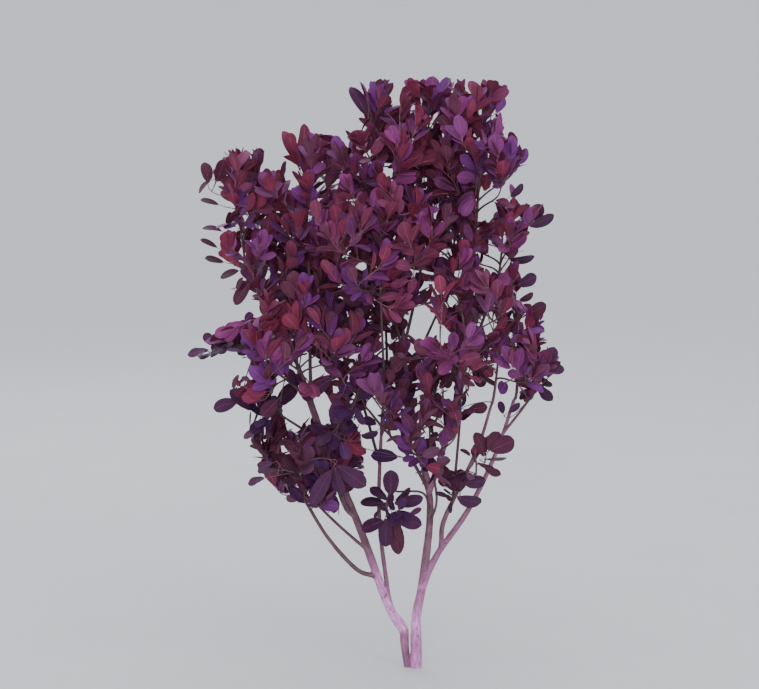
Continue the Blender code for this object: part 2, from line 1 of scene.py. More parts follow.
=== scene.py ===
"""The looks of a smoke bush with dark purple leaves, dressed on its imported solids.

Units are metres, but for the tables in millimetres, and +Z is up. From the front +X is to the right and +Y to the
back, and the origin is the centre of the flat cut at ground level. The bark follows the limbs of the solids. Each
mass of foliage grows again in its own space by the rule of the solids, carried on to finer shoots with leaves of
living size.
"""

import json
import logging
import math
import random
from dataclasses import dataclass, field
from enum import Enum
from itertools import product

import bmesh
import bpy
import numpy as np
from bmesh.types import BMEdge, BMesh, BMVert
from bpy.types import ID, Material, Mesh, Node, NodeSocket, NodeTree, Object, bpy_prop_collection
from mathutils import Matrix, Vector, noise
from mathutils.bvhtree import BVHTree
from mathutils.kdtree import KDTree

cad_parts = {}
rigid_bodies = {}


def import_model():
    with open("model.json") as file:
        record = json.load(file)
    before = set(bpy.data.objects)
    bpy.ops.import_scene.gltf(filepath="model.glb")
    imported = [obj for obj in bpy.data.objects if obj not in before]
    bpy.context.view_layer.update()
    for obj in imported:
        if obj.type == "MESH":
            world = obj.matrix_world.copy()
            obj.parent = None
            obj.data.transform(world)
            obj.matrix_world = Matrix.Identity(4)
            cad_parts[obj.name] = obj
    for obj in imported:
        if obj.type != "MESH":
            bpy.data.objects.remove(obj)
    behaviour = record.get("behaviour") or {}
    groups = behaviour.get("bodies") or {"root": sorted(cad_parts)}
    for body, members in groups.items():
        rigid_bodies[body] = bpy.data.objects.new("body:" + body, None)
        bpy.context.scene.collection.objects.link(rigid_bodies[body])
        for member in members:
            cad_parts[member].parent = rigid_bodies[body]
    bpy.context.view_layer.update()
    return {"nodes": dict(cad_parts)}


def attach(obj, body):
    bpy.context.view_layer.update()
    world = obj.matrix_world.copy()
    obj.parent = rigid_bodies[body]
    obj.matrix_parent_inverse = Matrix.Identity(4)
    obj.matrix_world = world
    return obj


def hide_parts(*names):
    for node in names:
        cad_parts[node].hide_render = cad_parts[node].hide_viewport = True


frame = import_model()

LOG = logging.getLogger("smoke_bush")
UP = Vector((0, 0, 1))
GOLDEN_ANGLE = math.radians(137.508)
NOISE_SEED = 3

# The view of the photograph
CAMERA_PLACE = Vector((-0.083, -5.0, 1.55))
CAMERA_AIM = Vector((-0.083, 0.0, 0.809))
LENS = 98.9
SENSOR = 36.0


def metres(*lengths: float) -> tuple:
    """Lengths in millimetres as metres."""
    return tuple(length / 1000 for length in lengths)


@dataclass(frozen=True)
class Limb:
    """A tapering limb that leaves its parent's axis at a height and passes a few places to its tip.

    Its lengths are in millimetres.
    """

    name: str
    parent: str
    leaves_at: float
    passes: tuple
    base_radius: float
    tip_radius: float
    thinning: float = 0.85


@dataclass(frozen=True)
class Mass:
    """A mass of foliage on the tip of a limb, with the egg-shaped space that it keeps to, in millimetres."""

    name: str
    limb: str
    tone: str
    centre: tuple
    reach: tuple
    fullness: float = 1.0
    leaf_size: float = 1.0


@dataclass(frozen=True)
class Oval:
    """An upright oval on the plane through the foot that faces the camera."""

    x: float
    z: float
    half_width: float
    half_height: float

    def has(self, x: float, z: float) -> bool:
        """Whether a place on the plane is within it."""
        return ((x - self.x) / self.half_width) ** 2 + ((z - self.z) / self.half_height) ** 2 < 1.0


@dataclass(frozen=True)
class Spray:
    """A few leaves that stand clear, at a depth in millimetres behind the foot of the bush."""

    mass: str
    depth: float
    leaves: tuple


LIMBS = (
    Limb("left_stem", "foot", 26, ((-21.5, 0, 90), (-62, 0, 160), (-131, -9, 355), (-208, -18, 552), (-258, -20, 700),
        (-308, -20, 830)), 12, 4.6, 1.25),
    Limb("right_stem", "foot", 26, ((8.5, 0, 130), (24, 0, 222), (41, 0, 415), (10, 0, 573), (-18, 8, 740),
        (-29, 10, 880)), 14.3, 5, 0.65),
    Limb("back_stem", "left_stem", 148, ((-66, 14, 215), (-84, 32, 384), (-78, 90, 580), (-66, 140, 715)), 6.4, 4),
    Limb("low_left_bough", "left_stem", 232, ((-139, -18, 254), (-208, -38, 337), (-262, -56, 432)), 6.2, 4),
    Limb("low_left_spur", "left_stem", 296, ((-185, 18, 357), (-252, 56, 415)), 4.6, 3.2),
    Limb("left_twin_bough", "left_stem", 385, ((-171, -30, 425), (-226, -70, 600), (-268, -110, 730)), 6.6, 3.8),
    Limb("left_outer_bough", "left_stem", 660, ((-290, -22, 712), (-368, -24, 770)), 4.2, 3.2),
    Limb("left_upright_bough", "left_stem", 670, ((-250, -44, 770), (-248, -56, 910), (-253, -56, 1030)), 5, 3.4),
    Limb("left_low_bough", "left_stem", 540, ((-250, 24, 580), (-312, 36, 620)), 4.2, 3.2),
    Limb("left_upper_bough", "left_stem", 765, ((-318, -50, 820), (-345, -75, 870)), 4, 3),
    Limb("far_left_bough", "left_stem", 785, ((-346, 8, 890), (-400, 12, 1000)), 4.2, 3.2),
    Limb("right_bough", "right_stem", 205, ((61, 6, 288), (135, 16, 395), (201, 28, 530), (247, 34, 668)), 9.4, 4.2),
    Limb("right_outer_bough", "right_bough", 585, ((258, 4, 640), (280, -14, 675)), 4, 3),
    Limb("inner_right_bough", "right_bough", 300, ((73, -4, 366), (109, -14, 452), (158, -30, 567), (187, -48, 670)),
        6.6, 3.6, 1),
    Limb("thin_upright", "inner_right_bough", 420, ((104, 10, 500), (116, 44, 640), (112, 66, 720)), 4, 3),
    Limb("right_low_spur", "inner_right_bough", 455, ((128, -44, 480), (142, -72, 498)), 3.6, 3),
    Limb("centre_right_bough", "right_stem", 446, ((58, -12, 507), (98, -28, 660), (126, -26, 880), (146, -20, 1070)),
        8.4, 4),
    Limb("centre_left_bough", "right_stem", 448, ((-6, -30, 530), (-78, -66, 620), (-108, -88, 662)), 4.8, 3.2),
    Limb("centre_back_bough", "right_stem", 525, ((-30, 24, 595), (-74, 50, 700)), 4.4, 3.2),
    Limb("low_hanging_twig", "right_stem", 395, ((22, -40, 450), (-40, -78, 462)), 3.4, 2.8),
    Limb("low_front_spur", "right_stem", 360, ((56, -34, 430), (44, -74, 520)), 3.6, 3),
    Limb("top_left_bough", "right_stem", 760, ((-48, -22, 890), (-68, -40, 1010), (-80, -50, 1120)), 4.2, 3.2),
    Limb("top_centre_bough", "right_stem", 800, ((4, 26, 920), (22, 34, 1020), (32, 36, 1120)), 4.2, 3.4),
    Limb("right_upper_bough", "centre_right_bough", 740, ((160, -6, 850), (200, 16, 960)), 4.2, 3.2),
    Limb("front_right_bough", "centre_right_bough", 580, ((104, -80, 660), (120, -150, 770)), 4.4, 3.2),
    Limb("front_bough", "centre_left_bough", 596, ((-70, -120, 720), (-80, -180, 930)), 3.6, 3),
    Limb("back_left_bough", "back_stem", 500, ((-136, 136, 670), (-220, 176, 850)), 4.2, 3.2),
    Limb("back_right_bough", "back_stem", 570, ((-14, 146, 700), (80, 190, 900)), 4.2, 3.2),
)

MASSES = (
    Mass("left_heart", "left_stem", "purple", (-300, 40, 985), (140, 130, 140), 0.9),
    Mass("centre_heart", "right_stem", "purple", (-50, 30, 1040), (140, 130, 150), 0.9),
    Mass("back_heart", "back_stem", "dark", (-60, 220, 870), (160, 140, 150), 0.9),
    Mass("low_left", "low_left_bough", "dark", (-285, -90, 490), (130, 130, 120), 1.6, leaf_size=1.12),
    Mass("low_left_back", "low_left_spur", "dark", (-265, 100, 520), (130, 120, 110), leaf_size=1.08),
    Mass("left_front", "left_twin_bough", "purple", (-270, -190, 840), (150, 130, 150), leaf_size=1.06),
    Mass("far_left", "left_outer_bough", "purple", (-445, -25, 795), (130, 150, 90), 1.6),
    Mass("upper_left_plume", "left_upright_bough", "red", (-255, -55, 1180), (110, 120, 140), leaf_size=1.08),
    Mass("left_low", "left_low_bough", "dark", (-370, 40, 645), (120, 140, 75), 1.1),
    Mass("left_upper", "left_upper_bough", "purple", (-400, -100, 960), (130, 130, 130), 1.1),
    Mass("far_left_shoulder", "far_left_bough", "red", (-420, 10, 1130), (130, 140, 140), 1.1, leaf_size=1.08),
    Mass("right_outer", "right_bough", "purple", (245, 80, 850), (125, 140, 120), 1.2),
    Mass("far_right", "right_outer_bough", "red", (290, -30, 755), (130, 140, 100), 1.6, leaf_size=0.92),
    Mass("right_inner", "inner_right_bough", "purple", (185, -160, 800), (120, 130, 120), 1.1),
    Mass("right_back_low", "thin_upright", "dark", (110, 150, 820), (140, 140, 130)),
    Mass("right_low", "right_low_spur", "dark", (165, -100, 535), (110, 110, 100), 0.8, leaf_size=0.74),
    Mass("top_right", "centre_right_bough", "red", (150, -15, 1270), (115, 150, 150), 1.4, leaf_size=1.08),
    Mass("low_front_left", "centre_left_bough", "purple", (-125, -180, 710), (140, 130, 120)),
    Mass("centre_left", "centre_back_bough", "dark", (-115, 50, 810), (120, 110, 140)),
    Mass("low_hanging", "low_hanging_twig", "dark", (-60, -95, 405), (90, 85, 105), 0.4, leaf_size=0.72),
    Mass("low_front", "low_front_spur", "purple", (40, -130, 640), (130, 130, 130), 1.1),
    Mass("top_left_plume", "top_left_bough", "red", (-85, -65, 1275), (110, 130, 160), 1.4, leaf_size=1.08),
    Mass("top_centre", "top_centre_bough", "red", (40, 60, 1300), (105, 140, 150), 1.4, leaf_size=1.08),
    Mass("upper_right", "right_upper_bough", "red", (225, 45, 1060), (130, 150, 140), 1.4),
    Mass("front_right", "front_right_bough", "red", (115, -215, 900), (140, 130, 150)),
    Mass("upper_front", "front_bough", "red", (-80, -210, 1060), (150, 130, 160)),
    Mass("left_back", "back_left_bough", "purple", (-260, 225, 980), (150, 140, 160)),
    Mass("right_back", "back_right_bough", "purple", (120, 225, 1050), (150, 140, 160)),
)

# The rough outline that the masses share out, then the closer one that the leaves keep to in the photograph's view:
# height, furthest left and furthest right, in millimetres
ROUGH_OUTLINE = tuple(metres(*row) for row in (
    (270, -130, 20), (360, -250, 60), (420, -370, 165), (520, -400, 205), (600, -430, 230), (680, -490, 300),
    (750, -560, 375), (810, -565, 370), (900, -455, 325), (1050, -485, 290), (1150, -500, 315), (1240, -510, 285),
    (1290, -445, 265), (1330, -325, 245), (1350, -160, 235), (1450, -158, 222),
))
CLOSE_OUTLINE = tuple(metres(*row) for row in (
    (300, -108, -35), (345, -115, -20), (375, -125, 10), (400, -240, 20), (430, -308, 120), (450, -325, 95),
    (490, -384, 75), (530, -370, 85), (570, -394, 100), (610, -408, 110), (640, -388, 115), (670, -425, 110),
    (695, -438, 150), (705, -415, 300), (727, -415, 305), (746, -390, 360), (770, -395, 352), (790, -445, 345),
    (808, -490, 318), (825, -505, 320), (865, -445, 312), (884, -372, 298), (905, -370, 283), (925, -370, 232),
    (962, -405, 270), (985, -400, 254), (1000, -440, 232), (1020, -474, 243), (1060, -474, 260), (1085, -458, 274),
    (1118, -454, 290), (1135, -432, 304), (1155, -434, 252), (1175, -441, 215), (1195, -451, 243), (1215, -460, 228),
    (1235, -480, 233), (1270, -443, 272), (1285, -424, 262), (1290, -320, 240), (1302, -300, 228), (1318, -285, 221),
    (1330, -125, 212), (1365, -118, 205), (1385, -116, 210), (1422, -148, 222), (1441, -148, 220), (1466, -100, 205),
))
DEPTH_OF_WIDTH = 0.8
DEEPEST = 0.345
ROUNDNESS = 2.6

# Gaps of daylight through the crown, and places beyond its edge where leaves stand, as the camera sees them: how far
# to the right, how high, half the width and half the height, in millimetres
OPENINGS = tuple(Oval(*metres(*row)) for row in (
    (-100, 600, 22, 85), (-53, 515, 30, 10), (-90, 485, 26, 34), (-8, 485, 20, 30), (-152, 410, 26, 30),
    (18, 866, 30, 40), (22, 845, 40, 18), (72, 832, 13, 21), (184, 862, 16, 26), (206, 738, 20, 18),
    (176, 690, 20, 15), (134, 746, 9, 8), (171, 1145, 24, 34), (200, 1180, 13, 14), (58, 1116, 16, 7),
    (196, 1010, 34, 24), (107, 981, 12, 10), (63, 942, 10, 9), (95, 923, 12, 9), (235, 885, 11, 10), (87, 1212, 9, 9),
    (-258, 755, 36, 28), (-286, 640, 30, 34), (-222, 646, 18, 36), (-322, 713, 16, 18), (-306, 686, 30, 26),
    (-124, 999, 10, 9), (-70, 786, 28, 9), (-6, 797, 8, 14), (88, 690, 13, 13), (-60, 1231, 11, 9),
    (-335, 1295, 26, 62), (-180, 1335, 14, 30), (-43, 1430, 9, 62), (156, 1460, 11, 24), (-114, 1446, 10, 22),
))
ISLANDS = tuple(Oval(*metres(*row)) for row in (
    (198, 572, 50, 29), (162, 580, 18, 20), (142, 540, 22, 20), (115, 474, 62, 26), (72, 440, 34, 22),
    (200, 530, 28, 12), (188, 503, 24, 16), (150, 653, 34, 18), (236, 652, 28, 22), (298, 694, 42, 28),
    (220, 705, 22, 16), (-505, 792, 45, 18), (-458, 650, 30, 16), (-492, 1222, 34, 30), (-425, 942, 34, 16),
    (330, 790, 24, 18), (-294, 1302, 22, 34), (-258, 1305, 18, 34), (-230, 1300, 18, 24), (-462, 1075, 30, 22),
    (-450, 1035, 30, 16), (312, 1135, 26, 20), (-70, 446, 34, 50), (-105, 528, 34, 16),
))

# Shoots that stand out at the edge of the crown, by mass: the tip in millimetres, and the way that it points if that
# isn't up
LEADERS = {
    "top_left_plume": ((-112, -50, 1400, -0.4, 0, 1), (-74, 0, 1412), (-85, -100, 1390), (-55, -80, 1380),
        (-100, -30, 1330, -0.3, 0, 1)),
    "top_centre": ((4, 50, 1400), (40, 30, 1420), (80, 80, 1420), (20, 110, 1410), (60, -10, 1415)),
    "top_right": ((116, -20, 1408), (176, -30, 1412), (204, 10, 1400, 0.15, 0, 1), (172, 60, 1405),
        (235, -20, 1238, 0.5, 0, 1), (212, -60, 1330)),
    "upper_left_plume": ((-284, -60, 1272, -0.3, 0, 1), (-258, -40, 1280), (-236, 20, 1268, 0.1, 0, 1),
        (-200, -60, 1205, 0.2, 0, 1), (-190, -10, 1235, 0.2, 0, 1), (-316, -70, 1178, -0.3, 0, 1)),
    "far_left_shoulder": ((-426, 0, 1240), (-390, 20, 1242), (-368, -20, 1235), (-468, 0, 1192, -0.5, 0, 1),
        (-440, -50, 1110, -0.8, 0, 0.5), (-438, 0, 1075, -1, 0, 0.2), (-352, -20, 1182)),
    "left_upper": ((-428, -40, 1030, -1, 0, 0.3), (-408, -80, 985, -1, 0, 0.2), (-385, -60, 950, -1, 0, -0.3)),
    "upper_right": ((272, 30, 1112, 0.9, 0, 0.6), (240, -20, 1118, 0.5, 0, 1), (240, 40, 965, 1, 0, 0.2),
        (225, 20, 1175, 0.7, 0, 0.6)),
    "far_left": ((-482, -20, 790, -1, 0, 0.05), (-470, -30, 812, -0.8, 0, 0.6), (-430, -60, 822, -0.5, 0, 1)),
    "far_right": ((330, -30, 738, 0.7, 0, 0.7), (305, 20, 748, 0.3, 0, 1), (285, -50, 705, 0.8, 0, -0.4)),
    "right_outer": ((284, 30, 842, 0.6, 0, 1), (290, 60, 790, 1, 0, 0.3)),
    "left_low": ((-410, 30, 655, -1, 0, -0.1), (-390, 0, 680, -0.8, 0, 0.4), (-372, 0, 600, -1, 0, 0.2)),
    "low_left": ((-372, -90, 480, -1, 0, 0), (-360, -120, 570, -0.8, 0, 0.8), (-340, -100, 590, -0.4, 0, 1),
        (-310, -150, 450, -0.6, -0.3, -0.3), (-245, -140, 430, 0.2, -0.3, -0.8)),
    "right_low": ((172, -90, 560, -0.2, 0, 1), (95, -100, 470, -0.6, 0, 0.4), (145, -60, 530), (115, -80, 490)),
}

# Leaves that stand clear in the photograph: the foot and the tip of each blade in millimetres, as seen on the plane
# through the foot of the bush, and how far it is turned from facing the camera in degrees
SPRAYS = (
    Spray("low_hanging", -90, ((-55, 436, -55, 499, 12), (-65, 424, -104, 459, 55), (-72, 414, -131, 424, 50),
        (-45, 416, 26, 424, 40), (-43, 424, -3, 444, 60), (-48, 386, 21, 358, 25), (-75, 371, -129, 351, 30),
        (-65, 376, -72, 303, 15), (-50, 376, -33, 295, 195), (-40, 396, -11, 381, 50), (-82, 399, -102, 373, 70))),
    Spray("right_low", -60, ((107, 489, 58, 469, 20), (114, 446, 116, 501, 8), (124, 466, 178, 471, 15),
        (109, 431, 168, 406, 35), (87, 431, 55, 444, 60), (95, 416, 87, 391, 50))),
    Spray("right_low", -110, ((172, 534, 162, 591, 45), (184, 548, 208, 596, 10), (189, 548, 248, 573, 8),
        (177, 526, 229, 526, 76), (158, 516, 197, 499, 66), (172, 509, 212, 481, 60), (138, 534, 118, 556, 60))),
    Spray("right_inner", -60, ((135, 650, 181, 653, 35), (142, 640, 111, 628, 50))),
    Spray("far_right", -30, ((218, 640, 210, 670, 30), (232, 643, 261, 663, 45), (300, 712, 334, 667, 55),
        (281, 692, 254, 677, 40), (324, 761, 342, 803, 15), (324, 751, 365, 746, 10), (312, 729, 332, 700, 50))),
    Spray("low_left", -235, ((-185, 509, -114, 454, 18), (-202, 496, -254, 409, 12), (-192, 504, -185, 431, 40),
        (-366, 478, -408, 468, 55), (-346, 516, -388, 500, 40))),
    Spray("low_front_left", -240, ((-172, 687, -195, 612, 15), (-199, 727, -258, 686, 30))),
    Spray("left_low", 20, ((-382, 648, -446, 699, 15), (-333, 658, -284, 714, 20), (-432, 667, -489, 655, 20),
        (-354, 687, -344, 737, 35), (-396, 663, -408, 702, 50))),
    Spray("far_left", -20, ((-499, 795, -551, 789, 60), (-484, 808, -508, 837, 20))),
    Spray("left_upper", -60, ((-396, 961, -437, 908, 40), (-413, 971, -432, 942, 55))),
    Spray("far_left_shoulder", -10, ((-464, 1085, -505, 1103, 66), (-475, 1046, -513, 1068, 66),
        (-460, 1010, -504, 1022, 60), (-424, 988, -470, 976, 52), (-494, 1203, -497, 1252, 25),
        (-473, 1205, -450, 1252, 30), (-490, 1204, -524, 1184, 62), (-470, 1149, -512, 1164, 64))),
    Spray("upper_right", 10, ((279, 1097, 339, 1119, 50), (267, 1111, 312, 1145, 25), (232, 1169, 266, 1191, 50),
        (231, 1017, 289, 1008, 62), (251, 954, 299, 974, 40))),
    Spray("right_outer", 20, ((271, 879, 322, 906, 35), (256, 918, 293, 927, 45))),
    Spray("low_front", -110, ((-40, 531, -104, 538, 30), (-126, 583, -84, 588, 45), (-92, 613, -126, 628, 20),
        (55, 573, 101, 583, 55), (16, 536, 55, 509, 30))),
    Spray("upper_left_plume", -50, ((-273, 1241, -311, 1327, 40), (-269, 1255, -254, 1341, 150),
        (-230, 1260, -220, 1317, 30), (-250, 1241, -206, 1289, 45))),
    Spray("top_left_plume", -60, ((-111, 1360, -149, 1433, 40), (-101, 1370, -75, 1448, 150),
        (-91, 1355, -58, 1426, 45))),
    Spray("top_centre", 40, ((37, 1398, 47, 1455, 30), (71, 1403, 80, 1452, 40), (99, 1393, 113, 1441, 140))),
    Spray("top_right", 0, ((185, 1379, 197, 1441, 25), (166, 1389, 166, 1436, 50), (195, 1370, 218, 1405, 45),
        (244, 1248, 279, 1277, 40))),
)

# How the masses share out the crown, as in the solids
EGG_GROWTH = 1.30
SPACE_GAP = 0.0006
SEAT_GAP = 0.0003
SAMPLES = 500
INNER_SHARE = 0.66
SOLID_LEAVES_PER_LITRE = 1.75
SOLID_LEAVES_A_SHOOT = 4.6
SHORTEST_TWIG = 0.022
SHORTEST_END = 0.15
TWIG_SLOPE = 0.75
SHOOT_SLOPE = 1.0
FLAT_STRAIN = 1.2
STEM_FEET = {"left_stem": -0.0200, "right_stem": 0.0080}
THICK_LIMBS = ("left_stem", "right_stem", "right_bough", "centre_right_bough")
STEM_STEP = 0.055
LIMB_STEP = 0.065
FINE_STEP = 0.004
LINE_SHIFT = 0.137


def linked(name: str, data: ID) -> Object:
    """A new object in the scene.

    Args:
        name: Its name.
        data: Its mesh, curve, lamp or camera.

    Returns:
        The object.
    """
    thing = bpy.data.objects.new(name, data)
    bpy.context.scene.collection.objects.link(thing)
    return thing


def add_piece(name: str, mesh: Mesh, nodes: list[str], crease: float) -> None:
    """Puts a mesh in the scene as a piece that rides on the root and stands for some nodes.

    Args:
        name: The piece's name.
        mesh: Its mesh.
        nodes: The nodes that it replaces.
        crease: The angle, in degrees, from which its edges look sharp.
    """
    mesh.shade_smooth()
    mesh.set_sharp_from_angle(angle=math.radians(crease))
    thing = linked(name, mesh)
    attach(thing, "root")
    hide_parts(*nodes)
    triangles = sum(len(face.vertices) - 2 for face in mesh.polygons)
    LOG.info("%s: %d triangles, stands for %d nodes", name, triangles, len(nodes))


def finder_of(points: list[Vector]) -> KDTree:
    """A search tree of some points.

    Args:
        points: The points.

    Returns:
        The tree, with each point's place in the list as its index.
    """
    finder = KDTree(len(points))
    for index, point in enumerate(points):
        finder.insert(point, index)
    finder.balance()
    return finder


def mark_wood(mesh: Mesh, places: np.ndarray, girths: np.ndarray) -> None:
    """Gives each point of a mesh its place across and along its limb, and how thick its bark looks, painted shade and
    light in it.
    """
    mesh.attributes.new("limb_place", "FLOAT_VECTOR", "POINT").data.foreach_set("vector", places.ravel())
    mesh.attributes.new("girth", "FLOAT", "POINT").data.foreach_set("value", girths)


class Graph:
    """A node tree with short ways to add nodes, values and links."""

    def __init__(self, tree: NodeTree) -> None:
        """Keeps the tree of a material or a group."""
        self.tree = tree

    def feed(self, node: Node, values: dict) -> None:
        """Links inputs of a node, or sets their values.

        Args:
            node: The node.
            values: What goes to each input, by name or index: a number, a colour or another node's output.
        """
        for key, value in values.items():
            socket = node.inputs[key]
            if isinstance(value, NodeSocket):
                self.tree.links.new(value, socket)
            else:
                socket.default_value = (*value, 1.0) if socket.type == "RGBA" else value

    def add(self, kind: str, values: dict | None = None, **settings) -> Node:
        """Adds a node.

        Args:
            kind: The node's type.
            values: What goes to its inputs.
            settings: The node's own settings.

        Returns:
            The node.
        """
        node = self.tree.nodes.new(kind)
        for key, value in settings.items():
            setattr(node, key, value)
        self.feed(node, values or {})
        return node

    def group(self, name: str, **values) -> bpy_prop_collection:
        """The outputs of a shared node group that is given values for its inputs."""
        return self.add("ShaderNodeGroup", values, node_tree=bpy.data.node_groups[name]).outputs

    def maths(self, operation: str, *values) -> NodeSocket:
        """The result of a Math node on a few numbers or sockets."""
        return self.add("ShaderNodeMath", dict(enumerate(values)), operation=operation).outputs[0]

    def span(self, value, low: float, high: float, start: float = 0.0, end: float = 1.0) -> NodeSocket:
        """A value between low and high drawn out to the range from start to end, and clamped."""
        values = {"Value": value, "From Min": low, "From Max": high, "To Min": start, "To Max": end}
        return self.add("ShaderNodeMapRange", values).outputs[0]

    def blend(self, factor, first, second) -> NodeSocket:
        """A mix of two colours."""
        return self.add("ShaderNodeMix", {0: factor, 6: first, 7: second}, data_type="RGBA").outputs[2]

    def stretch(self, vector, scale: tuple) -> NodeSocket:
        """A vector times a scale for each axis."""
        return self.add("ShaderNodeVectorMath", {0: vector, 1: scale}, operation="MULTIPLY").outputs[0]

    def grain(self, vector, scale: float, detail: float = 2.0, roughness: float = 0.5) -> NodeSocket:
        """The value of a noise texture."""
        values = {"Vector": vector, "Scale": scale, "Detail": detail, "Roughness": roughness}
        return self.add("ShaderNodeTexNoise", values).outputs[0]

    def bump(self, height, distance: float, strength: float) -> NodeSocket:
        """The normal of a Bump node."""
        values = {"Height": height, "Distance": distance, "Strength": strength}
        return self.add("ShaderNodeBump", values).outputs[0]

    def place(self) -> NodeSocket:
        """The Object coordinates."""
        return self.add("ShaderNodeTexCoord").outputs["Object"]


class ShaderGroups:
    """The effects that several finishes share, each a node group that is built once and placed by its name."""

    def __init__(self) -> None:
        """Builds every group."""
        self.build_mottle()
        self.build_bark()
        self.build_veins()

    @staticmethod
    def start(name: str, inputs: dict, outputs: tuple) -> tuple:
        """An empty group with its sockets.

        Args:
            name: The group's name.
            inputs: The kind of each input socket, by name.
            outputs: The names of the outputs, which are all numbers.

        Returns:
            Its graph, what its input node puts out and its output node.
        """
        tree = bpy.data.node_groups.new(name, "ShaderNodeTree")
        for socket, kind in inputs.items():
            tree.interface.new_socket(socket, in_out="INPUT", socket_type=kind)
        for socket in outputs:
            tree.interface.new_socket(socket, in_out="OUTPUT", socket_type="NodeSocketFloat")
        graph = Graph(tree)
        return graph, graph.add("NodeGroupInput").outputs, graph.add("NodeGroupOutput")

    def build_mottle(self) -> None:
        """Soft blotches with a finer grain in them, as a mask and a height."""
        inputs = {"Vector": "NodeSocketVector", "Scale": "NodeSocketFloat"}
        graph, start, end = self.start("mottle", inputs, ("Mask", "Height"))
        coarse = graph.grain(start["Vector"], start["Scale"], 3.0, 0.55)
        fine = graph.grain(start["Vector"], graph.maths("MULTIPLY", start["Scale"], 7.0), 2.0, 0.6)
        both = graph.maths("MULTIPLY_ADD", fine, 0.35, graph.maths("MULTIPLY", coarse, 0.65))
        graph.feed(end, {"Mask": graph.span(both, 0.36, 0.64), "Height": fine})

    def build_bark(self) -> None:
        """Smooth young bark: streaks along the limb, faint rings round it and lenticels, as masks and a height."""
        outputs = ("Streaks", "Rings", "Lenticels", "Height")
        graph, start, end = self.start("bark_pattern", {"Place": "NodeSocketVector"}, outputs)
        place = start["Place"]
        streaks = graph.grain(graph.stretch(place, (1.0, 1.0, 0.16)), 260.0, 4.0, 0.6)
        rings = graph.grain(graph.stretch(place, (0.22, 0.22, 1.9)), 150.0, 3.0, 0.65)
        cells = {"Vector": graph.stretch(place, (0.62, 0.62, 1.0)), "Scale": 150.0, "Randomness": 1.0}
        spots = graph.add("ShaderNodeTexVoronoi", cells).outputs["Distance"]
        threshold = graph.span(graph.grain(place, 75.0, 1.0), 0.40, 0.66, 0.0, 0.34)
        lenticels = graph.span(graph.maths("SUBTRACT", threshold, spots), 0.0, 0.07)
        ridge = graph.maths("MULTIPLY_ADD", streaks, 0.6, graph.maths("MULTIPLY", rings, 0.4))
        graph.feed(end, {
            "Streaks": graph.span(streaks, 0.38, 0.66), "Rings": graph.span(rings, 0.56, 0.70),
            "Lenticels": lenticels, "Height": graph.maths("MULTIPLY_ADD", lenticels, 0.5, ridge)})

    def build_veins(self) -> None:
        """The veins of a leaf over its own map: the midrib along the middle and side veins that slant from it."""
        graph, start, end = self.start("leaf_veins", {"Map": "NodeSocketVector"}, ("Lines", "Height"))
        parts = graph.add("ShaderNodeSeparateXYZ", {0: start["Map"]}).outputs
        off_middle = graph.maths("ABSOLUTE", graph.maths("SUBTRACT", parts[0], 0.5))
        slanted = graph.maths("MULTIPLY_ADD", off_middle, -3.2, graph.maths("MULTIPLY", parts[1], 8.0))
        wave = graph.maths("COSINE", graph.maths("MULTIPLY", slanted, 2 * math.pi))
        side = graph.maths("MULTIPLY", graph.span(wave, 0.90, 1.0), graph.span(off_middle, 0.46, 0.10))
        middle = graph.span(off_middle, 0.035, 0.012)
        graph.feed(end, {
            "Lines": graph.maths("MAXIMUM", graph.maths("MULTIPLY", side, 0.55), middle),
            "Height": graph.maths("MAXIMUM", side, middle)})


@dataclass(frozen=True)
class Finish:
    """A finish of the bush or of what is round it: a material with a Principled shader."""

    name: str

    def material(self) -> Material:
        """Builds the finish.

        Returns:
            The material.
        """
        material = bpy.data.materials.new(self.name)
        material.use_nodes = True
        graph = Graph(material.node_tree)
        graph.feed(material.node_tree.nodes["Principled BSDF"], self.looks(graph))
        return material

    def looks(self, graph: Graph) -> dict:
        """Builds the patterns of the finish, as what goes to the inputs of its shader."""
        raise NotImplementedError


@dataclass(frozen=True)
class LeafFinish(Finish):
    """The skin of a leaf side: its colour, the paler colour of its veins, and a bloom that shines at a slant."""

    colour: tuple
    vein: tuple
    roughness: float = 0.5
    bloom: float = 0.04
    bloom_tint: tuple = (0.55, 0.3, 1.0)
    gleam_tint: tuple = (0.85, 0.62, 1.0)
    depth: float = 0.72
    vein_share: float = 0.4

    def looks(self, graph: Graph) -> dict:
        """The skin is mottled, its veins are paler and stand up, and its gloss varies with the grain.

        Args:
            graph: The material's graph.

        Returns:
            What goes to the inputs of the shader.
        """
        veins = graph.group("leaf_veins", Map=graph.add("ShaderNodeUVMap", uv_map="blade").outputs[0])
        mottle = graph.group("mottle", Vector=graph.place(), Scale=42.0)
        deep = tuple(self.depth * value for value in self.colour)
        skin = graph.blend(mottle["Mask"], deep, self.colour)
        paler = graph.maths("MULTIPLY", veins["Lines"], self.vein_share)
        grain = mottle["Height"]
        height = graph.maths("MULTIPLY_ADD", grain, 0.3, veins["Height"])
        return {
            "Base Color": graph.blend(paler, skin, self.vein),
            "Roughness": graph.span(grain, 0.3, 0.7, self.roughness - 0.06, self.roughness + 0.08),
            "Normal": graph.bump(height, 0.0006, 0.5),
            "Specular IOR Level": 0.15,
            "Specular Tint": self.gleam_tint,
            "Sheen Weight": self.bloom,
            "Sheen Roughness": 0.35,
            "Sheen Tint": self.bloom_tint,
        }


